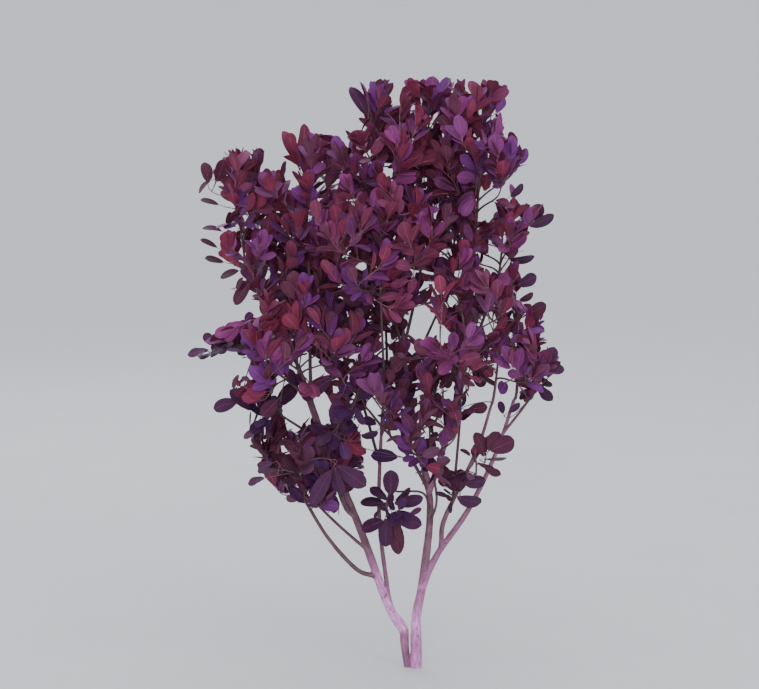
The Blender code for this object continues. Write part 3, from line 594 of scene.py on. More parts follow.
@dataclass(frozen=True)
class BarkFinish(Finish):
    """Smooth bark from dark young wood to pale mauve old wood with the limb's girth, which carries painted shade and
    light.
    """

    # palest mauve: thick worn bark, and the painted highlight on the lit bend of the stems
    pale: tuple = (0.94, 0.38, 0.9)
    old: tuple = (0.44, 0.155, 0.345)
    old_streak: tuple = (0.24, 0.095, 0.165)
    young: tuple = (0.112, 0.052, 0.066)
    young_streak: tuple = (0.06, 0.026, 0.03)
    speck: tuple = (0.05, 0.026, 0.032)
    young_girth: float = 0.0032
    old_girth: float = 0.01
    # from this girth on the bark turns palest: thick worn bark and painted highlight
    pale_and_highlight_girth: float = 0.0165
    roughness: float = 0.72

    def looks(self, graph: Graph) -> dict:
        """The skin ages with the girth, which carries painted shade and light, and is palest where it is thick and
        worn and where a highlight is painted; it is streaked, ringed and specked, and has a fine relief.

        Args:
            graph: The material's graph.

        Returns:
            What goes to the inputs of the shader.
        """
        place = graph.add("ShaderNodeAttribute", attribute_name="limb_place").outputs["Vector"]
        # girth: how thick the bark looks, with the painted shade and highlight by height in it
        girth = graph.add("ShaderNodeAttribute", attribute_name="girth").outputs["Fac"]
        pattern = graph.group("bark_pattern", Place=place)
        mask = graph.group("mottle", Vector=place, Scale=32.0)["Mask"]
        age = graph.span(girth, self.young_girth, self.old_girth)
        age = graph.maths("MULTIPLY_ADD", graph.maths("SUBTRACT", mask, 0.5), 0.3, age)
        age = graph.span(age, 0.0, 1.0)
        skin = graph.blend(age, self.young, self.old)
        streak = graph.blend(age, self.young_streak, self.old_streak)
        blotches = graph.maths("MULTIPLY_ADD", mask, 0.6, 0.4)
        # palest where the bark is thick and worn and where a painted highlight falls
        worn_and_highlight = graph.maths("MULTIPLY", graph.span(girth, self.old_girth, self.pale_and_highlight_girth), blotches)
        skin = graph.blend(worn_and_highlight, skin, self.pale)
        skin = graph.blend(graph.maths("MULTIPLY", pattern["Streaks"], 0.75), skin, streak)
        skin = graph.blend(graph.maths("MULTIPLY", pattern["Rings"], 0.38), skin, streak)
        return {
            "Base Color": graph.blend(graph.maths("MULTIPLY", pattern["Lenticels"], 0.85), skin, self.speck),
            "Roughness": graph.span(pattern["Streaks"], 0.0, 1.0, self.roughness - 0.08, self.roughness + 0.1),
            "Normal": graph.bump(pattern["Height"], 0.0012, 0.55),
        }


@dataclass(frozen=True)
class StalkFinish(Finish):
    """The smooth pinkish skin of the leaf stalks and midribs."""

    colour: tuple
    shade: tuple

    def looks(self, graph: Graph) -> dict:
        """The skin is softly mottled.

        Args:
            graph: The material's graph.

        Returns:
            What goes to the inputs of the shader.
        """
        mottle = graph.group("mottle", Vector=graph.place(), Scale=90.0)
        return {
            "Base Color": graph.blend(mottle["Mask"], self.shade, self.colour),
            "Roughness": 0.42,
            "Normal": graph.bump(mottle["Height"], 0.0003, 0.4),
        }


class Tint(Enum):
    """The tint of a spray, as the finish of the upper side of its leaves; the last three are darker copies that paint
    shade.
    """

    VIOLET = LeafFinish("leaf_violet", (0.144, 0.029, 0.17), (0.29, 0.12, 0.28))
    PURPLE = LeafFinish("leaf_purple", (0.166, 0.033, 0.144), (0.31, 0.12, 0.25))
    MAGENTA = LeafFinish("leaf_magenta", (0.206, 0.034, 0.146), (0.36, 0.13, 0.25))
    WINE = LeafFinish("leaf_wine", (0.174, 0.034, 0.088), (0.34, 0.12, 0.18))
    PLUM = LeafFinish("leaf_plum", (0.148, 0.037, 0.12), (0.29, 0.11, 0.21))
    DUSK = LeafFinish("leaf_dusk", (0.118, 0.045, 0.088), (0.24, 0.09, 0.16))
    # Darker copies of plum, violet and wine: painted shade for sprays low down, at the lower left edge and standing
    # clear
    SHADED_PLUM = LeafFinish("leaf_shaded_plum", (0.066, 0.02, 0.058), (0.15, 0.06, 0.12))
    SHADED_VIOLET = LeafFinish("leaf_shaded_violet", (0.062, 0.019, 0.076), (0.14, 0.06, 0.14))
    SHADED_WINE = LeafFinish("leaf_shaded_wine", (0.078, 0.019, 0.04), (0.17, 0.06, 0.09))


class Back(Enum):
    """The finish of the underside of a spray's leaves."""

    CRIMSON = LeafFinish("leaf_back_crimson", (0.205, 0.031, 0.07), (0.38, 0.12, 0.17), 0.6, 0.0)
    RED = LeafFinish("leaf_back_red", (0.165, 0.032, 0.068), (0.33, 0.11, 0.16), 0.6, 0.0)
    MAROON = LeafFinish("leaf_back_maroon", (0.13, 0.037, 0.07), (0.27, 0.1, 0.15), 0.6, 0.0)
    # A darker copy of red: painted shade on the undersides of the shaded sprays
    SHADED_RED = LeafFinish("leaf_back_shaded_red", (0.072, 0.018, 0.038), (0.16, 0.06, 0.09), 0.6, 0.0)


class Stalk(Enum):
    """The finish of a spray's leaf stalks and midribs."""

    PINK = StalkFinish("stalk_pink", (0.42, 0.1, 0.15), (0.24, 0.04, 0.065))
    DARK = StalkFinish("stalk_dark", (0.21, 0.06, 0.085), (0.1, 0.024, 0.04))


@dataclass(frozen=True)
class Dress:
    """What a spray wears: the tint of its upper sides, undersides and stalks."""

    tint: Tint
    back: Back
    stalk: Stalk


@dataclass(frozen=True)
class Curl:
    """How a leaf is shaped out of its plane, and how slim and where widest it is.

    The fold lifts the sides, the arch bends the tip back, the twist turns the tip and the wave lifts the margin.
    """

    fold: float
    arch: float
    twist: float = 0.0
    wave: float = 0.0
    slimness: float = 1.0
    shoulder: float = 1.5


class LeafForm(Enum):
    """The forms that the leaves take."""

    FLAT = Curl(0.14, 0.1)
    CUPPED = Curl(0.34, -0.08, 0.1)
    ARCHED = Curl(0.2, 0.3, -0.12)
    TWISTED = Curl(0.18, 0.16, 0.45, 0.05)
    WAVY = Curl(0.1, 0.14, -0.25, 0.09, 1.02, 1.7)
    ROUND = Curl(0.12, 0.06, 0.08, 0.03, 1.12, 2.0)
    FOLDED = Curl(0.62, 0.05, 0.0, 0.0, 0.9)
    YOUNG = Curl(0.7, 0.02, 0.15, 0.0, 0.72, 1.25)


@dataclass(frozen=True)
class LeafPattern:
    """One leaf of a form, built once: its root at the origin, its blade along +Y and its upper side to +Z."""

    form: LeafForm
    stalk_length: float = 0.014
    blade_length: float = 0.048
    blade_width: float = 0.029
    thickness: float = 0.00045
    across: int = 2
    along: int = 7
    rise: float = 0.55
    blunt_foot: float = 0.018
    blunt_reach: float = 0.967
    notch: float = 0.035
    fold_ease: float = 0.35
    rib_radius: float = 0.00055
    rib_sink: float = 0.4
    rib_stops: tuple = ((0.0, 0.0, 1.6), (1.0, 0.03, 1.2), (1.0, 0.38, 0.9), (1.0, 0.86, 0.4))

    def fullness(self, share: float) -> float:
        """How wide the outline is at a share of its length, before it is drawn to the blade's width."""
        return share ** self.rise * math.sqrt(1 - share ** self.form.value.shoulder)

    def half_width(self, share: float) -> float:
        """Half the blade's width at a share of its length.

        Args:
            share: From 0 at the stalk to 1 at the tip.

        Returns:
            The half width in metres.
        """
        curl = self.form.value
        reach = self.blunt_foot + self.blunt_reach * share
        widest = (2 * self.rise / (2 * self.rise + curl.shoulder)) ** (1 / curl.shoulder)
        return self.blade_width * curl.slimness / 2 * self.fullness(reach) / self.fullness(widest)

    def surface(self, side: float, share: float) -> Vector:
        """A point of the blade's upper side.

        Args:
            side: From -1 at the left margin to 1 at the right one.
            share: From 0 at the stalk to 1 at the tip.

        Returns:
            The point.
        """
        curl = self.form.value
        half = self.half_width(share)
        x = side * half
        y = self.blade_length * (share - self.notch * side ** 2 * share ** 5)
        lift = curl.fold * abs(x) * (1.0 - self.fold_ease * share)
        lift -= curl.arch * self.blade_length * share ** 2
        lift += curl.wave * half * side ** 2 * math.sin(9.0 * share + 1.5 * side)
        turned = Matrix.Rotation(curl.twist * share, 3, "Y") @ Vector((x, 0, lift))
        return Vector((turned.x, self.stalk_length + y, turned.z))

    def blade(self) -> BMesh:
        """The blade: a grid drawn to the leaf's outline and given its thickness.

        Returns:
            The blade.
        """
        shape = bmesh.new()
        shape.loops.layers.uv.new("blade")
        bmesh.ops.create_grid(
            shape, x_segments=self.across, y_segments=self.along, size=0.5, calc_uvs=True)
        for vert in shape.verts:
            vert.co = self.surface(2 * vert.co.x, 1 - (0.5 - vert.co.y) ** 1.6)
        bmesh.ops.solidify(shape, geom=shape.faces[:], thickness=self.thickness)
        return shape

    def rib(self) -> BMesh:
        """The stalk and midrib: a four-sided bar drawn ring by ring from the root to near the tip.

        Returns:
            The bar.
        """
        shape = bmesh.new()
        shape.loops.layers.uv.new("blade")
        ring = bmesh.ops.create_circle(shape, cap_ends=True, segments=4, radius=1.0)["verts"]
        edges = shape.edges[:]
        for index, (stalk_share, blade_share, girth) in enumerate(self.rib_stops):
            if index:
                grown = bmesh.ops.extrude_edge_only(shape, edges=edges)["geom"]
                ring = [part for part in grown if isinstance(part, BMVert)]
                ring.sort(key=lambda vert: math.atan2(vert.co.z, vert.co.x))
                edges = [part for part in grown if isinstance(part, BMEdge)]
            centre = Vector((0, stalk_share * self.stalk_length, 0))
            if blade_share:
                centre = self.surface(0.0, blade_share) - Vector((0, 0, self.rib_sink * self.thickness))
            radius = girth * self.rib_radius
            for corner, vert in enumerate(ring):
                angle = corner * math.pi / 2 - (math.pi if index else 0.0)
                vert.co = centre + radius * Vector((math.cos(angle), 0, math.sin(angle)))
        bmesh.ops.contextual_create(shape, geom=edges)
        bmesh.ops.recalc_face_normals(shape, faces=shape.faces)
        return shape

    def arrays(self) -> dict:
        """The leaf as arrays, for the joined meshes, with its faces in an order that is the same each time.

        Returns:
            Its corners, its four-sided faces, the side that each face is on (0 up, 1 under, 2 rib) and its map.
        """
        corners, faces, sides, maps = [], [], [], []
        for shape, is_blade in ((self.blade(), True), (self.rib(), False)):
            layer = shape.loops.layers.uv.active
            shape.verts.index_update()
            shape.normal_update()
            first = len(corners)
            corners += [vert.co[:] for vert in shape.verts]
            upper = self.across * self.along
            rows = []
            for index, face in enumerate(shape.faces):
                side = (0 if index < upper else 1) if is_blade else 2
                around = [first + vert.index for vert in face.verts]
                rows.append((side, sorted(around), around, [loop[layer].uv[:] for loop in face.loops]))
            for side, _, around, spots in sorted(rows):
                faces.append(around)
                sides.append(side)
                maps += spots
            shape.free()
        return {
            "corners": np.array(corners), "faces": np.array(faces), "sides": np.array(sides),
            "maps": np.array(maps),
        }


class Skeleton:
    """The axes and girths of the limbs, the same as in the solids."""

    def __init__(self) -> None:
        """Works out every axis."""
        self.paths: dict[str, list[Vector]] = {}
        self.fine: dict[str, list[Vector]] = {}
        self.radii: dict[str, list[float]] = {}
        for limb in LIMBS:
            if limb.parent == "foot":
                start = Vector((STEM_FEET[limb.name], 0, limb.leaves_at / 1000))
            else:
                start = self.at_height(self.paths[limb.parent], limb.leaves_at / 1000)
            step = STEM_STEP if limb.name in THICK_LIMBS else LIMB_STEP
            places = [start, *(Vector(metres(*place)) for place in limb.passes)]
            self.paths[limb.name] = self.smooth(places, step)
            fine = self.smooth(places, FINE_STEP)
            self.fine[limb.name] = fine
            self.radii[limb.name] = self.tapered(fine, *metres(limb.base_radius, limb.tip_radius), limb.thinning)

    @staticmethod
    def smooth(places: list[Vector], step: float) -> list[Vector]:
        """Points about a step apart on the smooth curve through some places.

        Args:
            places: The places that the curve passes.
            step: The distance between points.

        Returns:
            The points.
        """
        ends = [2 * places[0] - places[1], *places, 2 * places[-1] - places[-2]]
        path = []
        for before, start, end, after in zip(ends, ends[1:], ends[2:], ends[3:]):
            count = max(1, round((end - start).length / step))
            for index in range(count):
                t = index / count
                path.append(0.5 * (
                    2 * start + (end - before) * t
                    + (2 * before - 5 * start + 4 * end - after) * t ** 2
                    + (3 * start - before - 3 * end + after) * t ** 3))
        path.append(places[-1].copy())
        return path

    @staticmethod
    def at_height(path: list[Vector], height: float) -> Vector:
        """The point of a rising path at a height.

        Args:
            path: The points of the path.
            height: The height in metres.

        Returns:
            The point.
        """
        for low, high in zip(path, path[1:]):
            if low.z <= height <= high.z:
                return low.lerp(high, (height - low.z) / (high.z - low.z))
        raise ValueError(f"no point of the path is {height} m up")

    @staticmethod
    def tapered(path: list[Vector], base: float, tip: float, thinning: float) -> list[float]:
        """The girth of a path.

        Args:
            path: The points of the path.
            base: The radius at its base.
            tip: The radius at its tip.
            thinning: The power of the taper: over 1 the path stays thick for longer.

        Returns:
            The radius at each point.
        """
        spans = [0.0]
        for start, end in zip(path, path[1:]):
            spans.append(spans[-1] + (end - start).length)
        return [base + (tip - base) * (span / spans[-1]) ** thinning for span in spans]


class Crown:
    """The outline of the crown, and the gaps of daylight that the photograph shows in it."""

    @staticmethod
    def edges(rows: tuple, height: float) -> tuple | None:
        """The furthest left and right of an outline at a height.

        Args:
            rows: The outline's rows.
            height: The height in metres.

        Returns:
            Both, or nothing above and below the outline.
        """
        if not rows[0][0] <= height <= rows[-1][0]:
            return None
        for low, high in zip(rows, rows[1:]):
            if height <= high[0]:
                share = (height - low[0]) / (high[0] - low[0])
                return low[1] + (high[1] - low[1]) * share, low[2] + (high[2] - low[2]) * share
        return None

    @classmethod
    def holds(cls, point: Vector) -> bool:
        """Whether a point is within the rough outline, which is oval in plan.

        Args:
            point: The point.

        Returns:
            True if it is.
        """
        edges = cls.edges(ROUGH_OUTLINE, point.z)
        if edges is None:
            return False
        half = (edges[1] - edges[0]) / 2
        depth = min(half * DEPTH_OF_WIDTH, DEEPEST)
        across = abs(point.x - (edges[0] + edges[1]) / 2) / half
        return across ** ROUNDNESS + abs(point.y / depth) ** ROUNDNESS <= 1.0

    @staticmethod
    def seen_at(point: Vector) -> tuple[float, float]:
        """How far to the right and how high a point is seen on the upright plane through the foot."""
        crossing = CAMERA_PLACE.lerp(point, CAMERA_PLACE.y / (CAMERA_PLACE.y - point.y))
        return crossing.x, crossing.z

    @staticmethod
    def behind(x: float, z: float, depth: float) -> Vector:
        """The point at a depth that is seen at a place of the plane through the foot."""
        return CAMERA_PLACE.lerp(Vector((x, 0, z)), 1 - depth / CAMERA_PLACE.y)

    @classmethod
    def within(cls, point: Vector, stray: float) -> bool:
        """Whether a point is seen inside the closer outline or an island.

        Args:
            point: The point.
            stray: How far past the outline's edge still counts.

        Returns:
            True if it is.
        """
        x, z = cls.seen_at(point)
        edges = cls.edges(CLOSE_OUTLINE, z)
        if edges is not None and edges[0] - stray <= x <= edges[1] + stray:
            return True
        return any(island.has(x, z) for island in ISLANDS)

    @classmethod
    def shows(cls, point: Vector, stray: float) -> bool:
        """Whether the photograph shows foliage where a point is seen, or not far from there."""
        x, z = cls.seen_at(point)
        return not any(gap.has(x, z) for gap in OPENINGS) and cls.within(point, stray)


class Space:
    """The room that a mass keeps to: its own egg within the crown, on its own side of every neighbour."""

    def __init__(self, mass: Mass) -> None:
        """Sets the walls to the neighbours and spreads places through the room.

        Args:
            mass: The mass that the room is for.
        """
        self.middle = Vector(metres(*mass.centre))
        self.reach = Vector(metres(*mass.reach)) * EGG_GROWTH
        self.walls: list[tuple[Vector, Vector]] = []
        own = sum(metres(*mass.reach)) / 3
        for other in MASSES:
            if other is mass:
                continue
            away = Vector(metres(*other.centre)) - self.middle
            theirs = sum(metres(*other.reach)) / 3
            share = 0.5 + (own ** 2 - theirs ** 2) / (2 * away.length_squared)
            self.walls.append((self.middle + away * share, away.normalized()))
        self.sample(random.Random(mass.name + "_space"))

    def holds(self, point: Vector, slack: float = 0.0) -> bool:
        """Whether a point is in the egg, in the crown and inside the walls.

        Args:
            point: The point.
            slack: How far it may pass a wall.

        Returns:
            True if it is.
        """
        offset = point - self.middle
        inside = sum((offset[i] / self.reach[i]) ** 2 for i in range(3)) <= 1.0
        return inside and Crown.holds(point) and all(
            (point - wall).dot(normal) < slack - SPACE_GAP for wall, normal in self.walls)

    def sample(self, rng: random.Random) -> None:
        """Keeps places spread through the space, its centre of volume and its litres.

        Args:
            rng: The source of chance.
        """
        self.places: list[Vector] = []
        tries = 0
        while len(self.places) < SAMPLES:
            tries += 1
            offset = Vector(rng.uniform(-1, 1) * reach for reach in self.reach)
            if self.holds(self.middle + offset):
                self.places.append(self.middle + offset)
        self.centre = sum(self.places, Vector()) / SAMPLES
        self.litres = 8000 * math.prod(self.reach) * SAMPLES / tries

    def targets(self, count: int, taken: list[Vector], share: float = INNER_SHARE) -> list[Vector]:
        """Places in the inner part of the space, each the furthest from those taken before it.

        Args:
            count: How many.
            taken: Places that are held already.
            share: How much of the space the inner part is, by length.

        Returns:
            The places.
        """
        inner = np.array([self.centre + (place - self.centre) * share for place in self.places])
        room = np.full(len(inner), np.inf)
        for place in taken:
            room = np.minimum(room, np.linalg.norm(inner - np.array(place), axis=1))
        chosen = []
        for _ in range(count):
            best = int(room.argmax())
            chosen.append(Vector(inner[best]))
            room = np.minimum(room, np.linalg.norm(inner - inner[best], axis=1))
        return chosen


@dataclass(frozen=True)
class Gauge:
    """The radius of a kind of shoot at its base and its tip, and how many forks it is from the limb."""

    base: float
    tip: float
    forks: int


class Kind(Enum):
    """The kinds of shoot. A stem's base is as thick as the tip of its limb."""

    STEM = Gauge(0.0, 0.0022, 0)
    TWIG = Gauge(0.0026, 0.0015, 1)
    FINE = Gauge(0.0017, 0.001, 2)
    LEADER = Gauge(0.0018, 0.0011, 2)
    CLEAR = Gauge(0.0014, 0.0009, 2)


@dataclass
class Shoot:
    """A shoot: the points along it, its kind and its radius at the base, and where along its parent it leaves.

    What it bears uses it up to a distance from its base.
    """

    path: list[Vector]
    kind: Kind
    base_radius: float
    parent: "Shoot | None" = None
    leaves_from: float = 0.0
    used: float = 0.0

    def back_from_tip(self, distance: float) -> tuple[Vector, Vector]:
        """The point at a distance back from the tip, and the way that the shoot runs there.

        Args:
            distance: Measured along the shoot.

        Returns:
            The point and the direction.
        """
        left = distance
        for end, start in zip(self.path[::-1], self.path[-2::-1]):
            length = (end - start).length
            if left <= length:
                return end.lerp(start, left / length), (end - start).normalized()
            left -= length
        return self.path[0].copy(), (self.path[1] - self.path[0]).normalized()

    def length(self) -> float:
        """The length along the shoot."""
        return sum((end - start).length for start, end in zip(self.path, self.path[1:]))

    def cut(self) -> None:
        """Ends the shoot at the last thing that it bears."""
        kept, left = [self.path[0]], self.used
        for start, end in zip(self.path, self.path[1:]):
            length = (end - start).length
            if left < length:
                kept.append(start.lerp(end, max(SHORTEST_END, left / length)))
                break
            kept.append(end)
            left -= length
        self.path = kept


@dataclass
class Leaf:
    """A leaf that has found its place: its form, where it is and what it wears."""

    form: LeafForm
    place: Matrix
    dress: Dress


@dataclass(frozen=True)
class RoughLeaf:
    """A rough solid of a leaf for touch tests: six corners of its outline and one under its middle.

    Each corner has its share of the half width, of the length and of the lift.
    """

    length: float = 0.062
    half_width: float = 0.0145
    lift: float = 0.0006
    corners: tuple = (
        (0, 0.24, 0), (0.8, 0.45, 1), (0.95, 0.76, 1), (0, 1, 0), (-0.95, 0.76, 1), (-0.8, 0.45, 1), (0, 0.6, -1))
    faces: tuple = ((0, 1, 6), (1, 2, 6), (2, 3, 6), (3, 4, 6), (4, 5, 6), (5, 0, 6), (0, 1, 2, 3, 4, 5))

    def at(self, place: Matrix) -> list[Vector]:
        """Its corners where a leaf stands."""
        return [place @ Vector((x * self.half_width, y * self.length, z * self.lift)) for x, y, z in self.corners]

    def tree(self, corners: list[Vector]) -> BVHTree:
        """The search tree of its surface."""
        return BVHTree.FromPolygons(corners, self.faces)


@dataclass
class Crowding:
    """The leaves that have found their places, for touch tests: their middles and search trees, sorted into cells."""

    cell_size: float = 0.05
    near: float = 0.045
    cells: dict = field(default_factory=dict)

    def cell(self, place: Vector) -> tuple[int, int, int]:
        """The cell that a place is in."""
        return tuple(math.floor(value / self.cell_size) for value in place)

    def add(self, place: Vector, tree: BVHTree) -> None:
        """Keeps a leaf's search tree at its middle."""
        self.cells.setdefault(self.cell(place), []).append((place, tree))

    def touches(self, place: Vector, tree: BVHTree) -> bool:
        """Whether a leaf touches one that is there already.

        Args:
            place: The leaf's middle.
            tree: Its search tree.

        Returns:
            True if it does.
        """
        for cell in product(*((value - 1, value, value + 1) for value in self.cell(place))):
            for where, other in self.cells.get(cell, ()):
                if (where - place).length < self.near and tree.overlap(other):
                    return True
        return False


@dataclass(frozen=True)
class Palette:
    """How the dress of the sprays changes over the crown.

    It is redder and brighter high up and outside, and darker copies of its tints paint shade low down, at the lower
    left edge and where a spray stands clear of the crown. Heights and widths are in metres.
    """

    # Where painted shade darkens the sprays: low down, at the lower left edge and where they stand clear
    shade_under: float = 0.86
    shade_rate: float = 1.2
    clear_shade_under: float = 1.5
    clear_fade: float = 0.55
    edge: float = -0.38
    edge_top: float = 0.9
    edge_shade: float = 0.45
    low: float = 0.35
    rise: float = 0.95
    axis: float = -0.09
    breadth: float = 0.33
    high_share: float = 0.65

    def dark(self, tip: Vector, clear: bool) -> float:
        """The chance that a spray wears the dark tints that paint shade.

        Args:
            tip: The tip of its shoot.
            clear: Whether it stands clear of the crown.

        Returns:
            The chance, which may pass 0 and 1.
        """
        more = self.edge_shade if tip.x < self.edge and tip.z < self.edge_top else 0.0
        if clear:
            return (self.clear_shade_under - tip.z) / self.clear_fade + more
        return self.shade_rate * (self.shade_under - tip.z) + more

    def light(self, tip: Vector) -> float:
        """How much light a spray gets, from 0 to 1: more high up and away from the crown's axis."""
        high, outer = (tip.z - self.low) / self.rise, (tip - Vector((self.axis, 0, tip.z))).length / self.breadth
        return self.high_share * min(1.0, max(0.0, high)) + (1 - self.high_share) * min(1.0, outer)

    def dress(self, rng: random.Random, tip: Vector, clear: bool = False) -> Dress:
        """Deals out what a spray wears.

        Args:
            rng: The source of chance.
            tip: The tip of its shoot.
            clear: Whether it stands clear of the crown.

        Returns:
            Its dress.
        """
        # painted shade: darker copies of the tints on sprays low down, at the lower left edge and standing clear
        if rng.random() < self.dark(tip, clear):
            return Dress(rng.choice((Tint.SHADED_PLUM, Tint.SHADED_PLUM, Tint.SHADED_VIOLET, Tint.SHADED_WINE)), Back.SHADED_RED, Stalk.DARK)
        light = self.light(tip)
        tints = {
            Tint.VIOLET: 0.9,
            Tint.PURPLE: 0.8 + 0.3 * light,
            Tint.MAGENTA: 0.1 + 1.1 * light ** 2,
            Tint.WINE: 0.35 + 0.35 * light,
            Tint.PLUM: 1.0 - 0.4 * light,
            Tint.DUSK: 0.9 * (1 - light) ** 2,
        }
        backs = {Back.CRIMSON: 0.1 + 1.2 * light ** 2, Back.RED: 0.6 + 0.4 * light, Back.MAROON: 1.3 - light}
        tint = rng.choices(list(tints), list(tints.values()))[0]
        back = rng.choices(list(backs), list(backs.values()))[0]
        return Dress(tint, back, Stalk.PINK if rng.random() < 0.35 + 0.4 * light else Stalk.DARK)


@dataclass
class MassGrowth:
    """Grows one mass again: the stem and twigs of the solid, finer shoots from these, and leaves round each shoot.

    It needs the mass and its room, the axis of the limb that bears it and that limb's radius at its tip, the limbs'
    surfaces and the leaves of all masses so far.
    """

    mass: Mass
    space: Space
    limb_path: list[Vector]
    limb_tip: float
    wood: BVHTree
    crowding: Crowding
    palette: Palette = Palette()
    rough: RoughLeaf = RoughLeaf()
    step: float = 0.012
    top: float = 0.3
    hanging_top: float = -0.25
    start_pull: float = 0.3
    tip_pull: float = 0.62
    wander: float = 0.0025
    wander_scale: float = 16.0
    leaves_a_litre: float = 17.5
    most_fullness: float = 1.4
    leaves_a_shoot: float = 8.5
    fewest_leaves: int = 3
    fewest_on_leader: int = 2
    tip_share: float = 0.84
    longest_shoot: float = 0.13
    shoot_stray: float = 0.012
    wall_slack: float = 0.012
    leaf_sizes: tuple = (0.76, 0.87, 0.94, 0.98, 0.99, 0.99, 0.97, 0.94, 0.91, 0.88, 0.85, 0.82)
    spacing: float = 0.004
    spacing_growth: float = 0.0006
    spread: float = 10
    spread_growth: float = 6.4
    leaf_stray: float = 0.005
    far_stray: tuple = (0.01, 0.034)
    far_share: float = 0.18
    leaf_lean: float = 0.28
    dark_lean: float = 0.08
    hanging_lean: float = -0.35
    sink: float = 0.0008
    attempts: int = 14
    full_attempts: int = 9
    turn_a_try: float = 0.52

    def __post_init__(self) -> None:
        """Starts with the stem."""
        self.hangs = self.mass.name == "low_hanging"
        self.rng = random.Random(self.mass.name + "_shoots")
        self.leaves: list[Leaf] = []
        self.stem = self.stem_line()
        self.shoots = [Shoot(Skeleton.smooth(self.stem, self.step), Kind.STEM, self.limb_tip)]

    def stem_line(self) -> list[Vector]:
        """The stem: on from the limb's tip in the same direction, then up through the space.

        Returns:
            Its start, two places that it passes and its top.
        """
        before, tip = self.limb_path[-2:]
        direction = (tip - before).normalized()
        start = tip + direction * SEAT_GAP
        rise = max(place.z for place in self.space.places) - self.space.centre.z
        top = self.space.centre + Vector((0, 0, (self.hanging_top if self.hangs else self.top) * rise))
        first = start + direction * min(0.02, 0.25 * (top - start).length)
        middle = first.lerp(top, 0.5) + direction * 0.12 * (top - first).length
        return [start, first, middle, top]

    @staticmethod
    def strain(reach: Vector, slope: float = TWIG_SLOPE) -> float:
        """How unlike a rising twig a reach is: its length, and more where it is flatter than a twig's slope."""
        return reach.length + FLAT_STRAIN * max(0.0, slope * Vector(reach[:2]).length - reach.z)

    def curve(self, start: Vector, runs: Vector, end: Vector, points: Vector) -> list[Vector]:
        """A shoot's line: it leaves its parent slantwise and turns up towards its tip.

        Args:
            start: Where it leaves.
            runs: The way that its parent runs there.
            end: Its tip.
            points: The way that its tip turns to.

        Returns:
            The points along it.
        """
        chord = end - start
        way = chord.normalized()
        third = chord.length / 3
        first = start + (runs * self.start_pull + way * (1 - self.start_pull)).normalized() * third
        second = end - (points.normalized() * self.tip_pull + way * (1 - self.tip_pull)).normalized() * third
        count = max(3, round(chord.length / self.step))
        path = []
        for index in range(count + 1):
            t = index / count
            s = 1 - t
            point = start * s ** 3 + first * 3 * s * s * t + second * 3 * s * t * t + end * t ** 3
            wander = self.wander * math.sin(math.pi * t)
            path.append(point + wander * noise.noise_vector(point * self.wander_scale))
        return path

    def start(self) -> None:
        """Grows the twigs of the solid and the leaves that stand clear."""
        solid_leaves = self.space.litres * SOLID_LEAVES_PER_LITRE * self.mass.fullness
        self.add_twigs(max(2, round(solid_leaves / SOLID_LEAVES_A_SHOOT) - 1))
        for spray in SPRAYS:
            if spray.mass == self.mass.name:
                self.add_spray(spray)

    def add_spray(self, spray: Spray) -> None:
        """Sets the leaves of a spray where the camera sees them, each on a fine shoot of its own.

        Args:
            spray: The spray.
        """
        depth = spray.depth / 1000
        dress = self.palette.dress(self.rng, Crown.behind(*metres(*spray.leaves[0][:2]), depth), True)
        for *ends, turn in spray.leaves:
            x, z, tip_x, tip_z = metres(*ends)
            foot = Crown.behind(x, z, depth)
            tip = Crown.behind(tip_x, tip_z, depth + self.rng.uniform(-0.012, 0.012))
            along = (tip - foot).normalized()
            size = (tip - foot).length / LeafPattern.blade_length
            root = foot - along * LeafPattern.stalk_length * size
            self.branch(self.shoots, root, along, Kind.CLEAR, slope=0.3)
            wide = min(size, 1.25) * self.rng.uniform(1.0, 1.12)
            facing = (CAMERA_PLACE - foot).normalized()
            place = self.leaf_place(root, along, facing, math.radians(turn), wide, size)
            form = self.rng.choice((LeafForm.FLAT, LeafForm.WAVY, LeafForm.ROUND, LeafForm.ARCHED))
            self.leaves.append(Leaf(form, place, dress))
            corners = self.rough.at(place)
            self.crowding.add(corners[-1], self.rough.tree(corners))

    def leaf_place(
            self, root: Vector, along: Vector, facing: Vector, roll: float, wide: float, size: float) -> Matrix:
        """Where a leaf stands.

        Args:
            root: The foot of its stalk, on the skin of its shoot.
            along: The way that it points.
            facing: What its upper side faces.
            roll: How far it is turned from that round its own axis.
            wide: How wide it is, against its pattern.
            size: How long it is, against its pattern.

        Returns:
            What moves the pattern there.
        """
        upper = (facing - along * facing.dot(along)).normalized()
        turned = Matrix((along.cross(upper), along, upper)).transposed().to_4x4()
        return (Matrix.Translation(root - along * self.sink) @ turned @ Matrix.Rotation(roll, 4, "Y")
                @ Matrix.Diagonal((wide, size, size, 1.0)))

    def grow(self) -> None:
        """Grows the finer shoots and the other leaves, and cuts back what bears nothing."""
        wanted = self.space.litres * self.leaves_a_litre * min(self.most_fullness, self.mass.fullness)
        self.add_shoots(max(1, round(wanted / self.leaves_a_shoot) - len(self.shoots)))
        for shoot in self.shoots:
            if shoot.kind is Kind.CLEAR:
                shoot.used = shoot.length()
                continue
            before = len(self.leaves)
            self.add_leaves(shoot)
            fewest = self.fewest_on_leader if shoot.kind is Kind.LEADER else self.fewest_leaves
            if shoot.parent and len(self.leaves) - before < fewest:
                del self.leaves[before:]
                shoot.used = 0.0
        for shoot in sorted(self.shoots, key=lambda one: -one.kind.value.forks):
            if shoot.used and shoot.parent:
                shoot.parent.used = max(shoot.parent.used, shoot.leaves_from)
        self.shoots = [shoot for shoot in self.shoots if shoot.used]
        for shoot in self.shoots:
            shoot.cut()

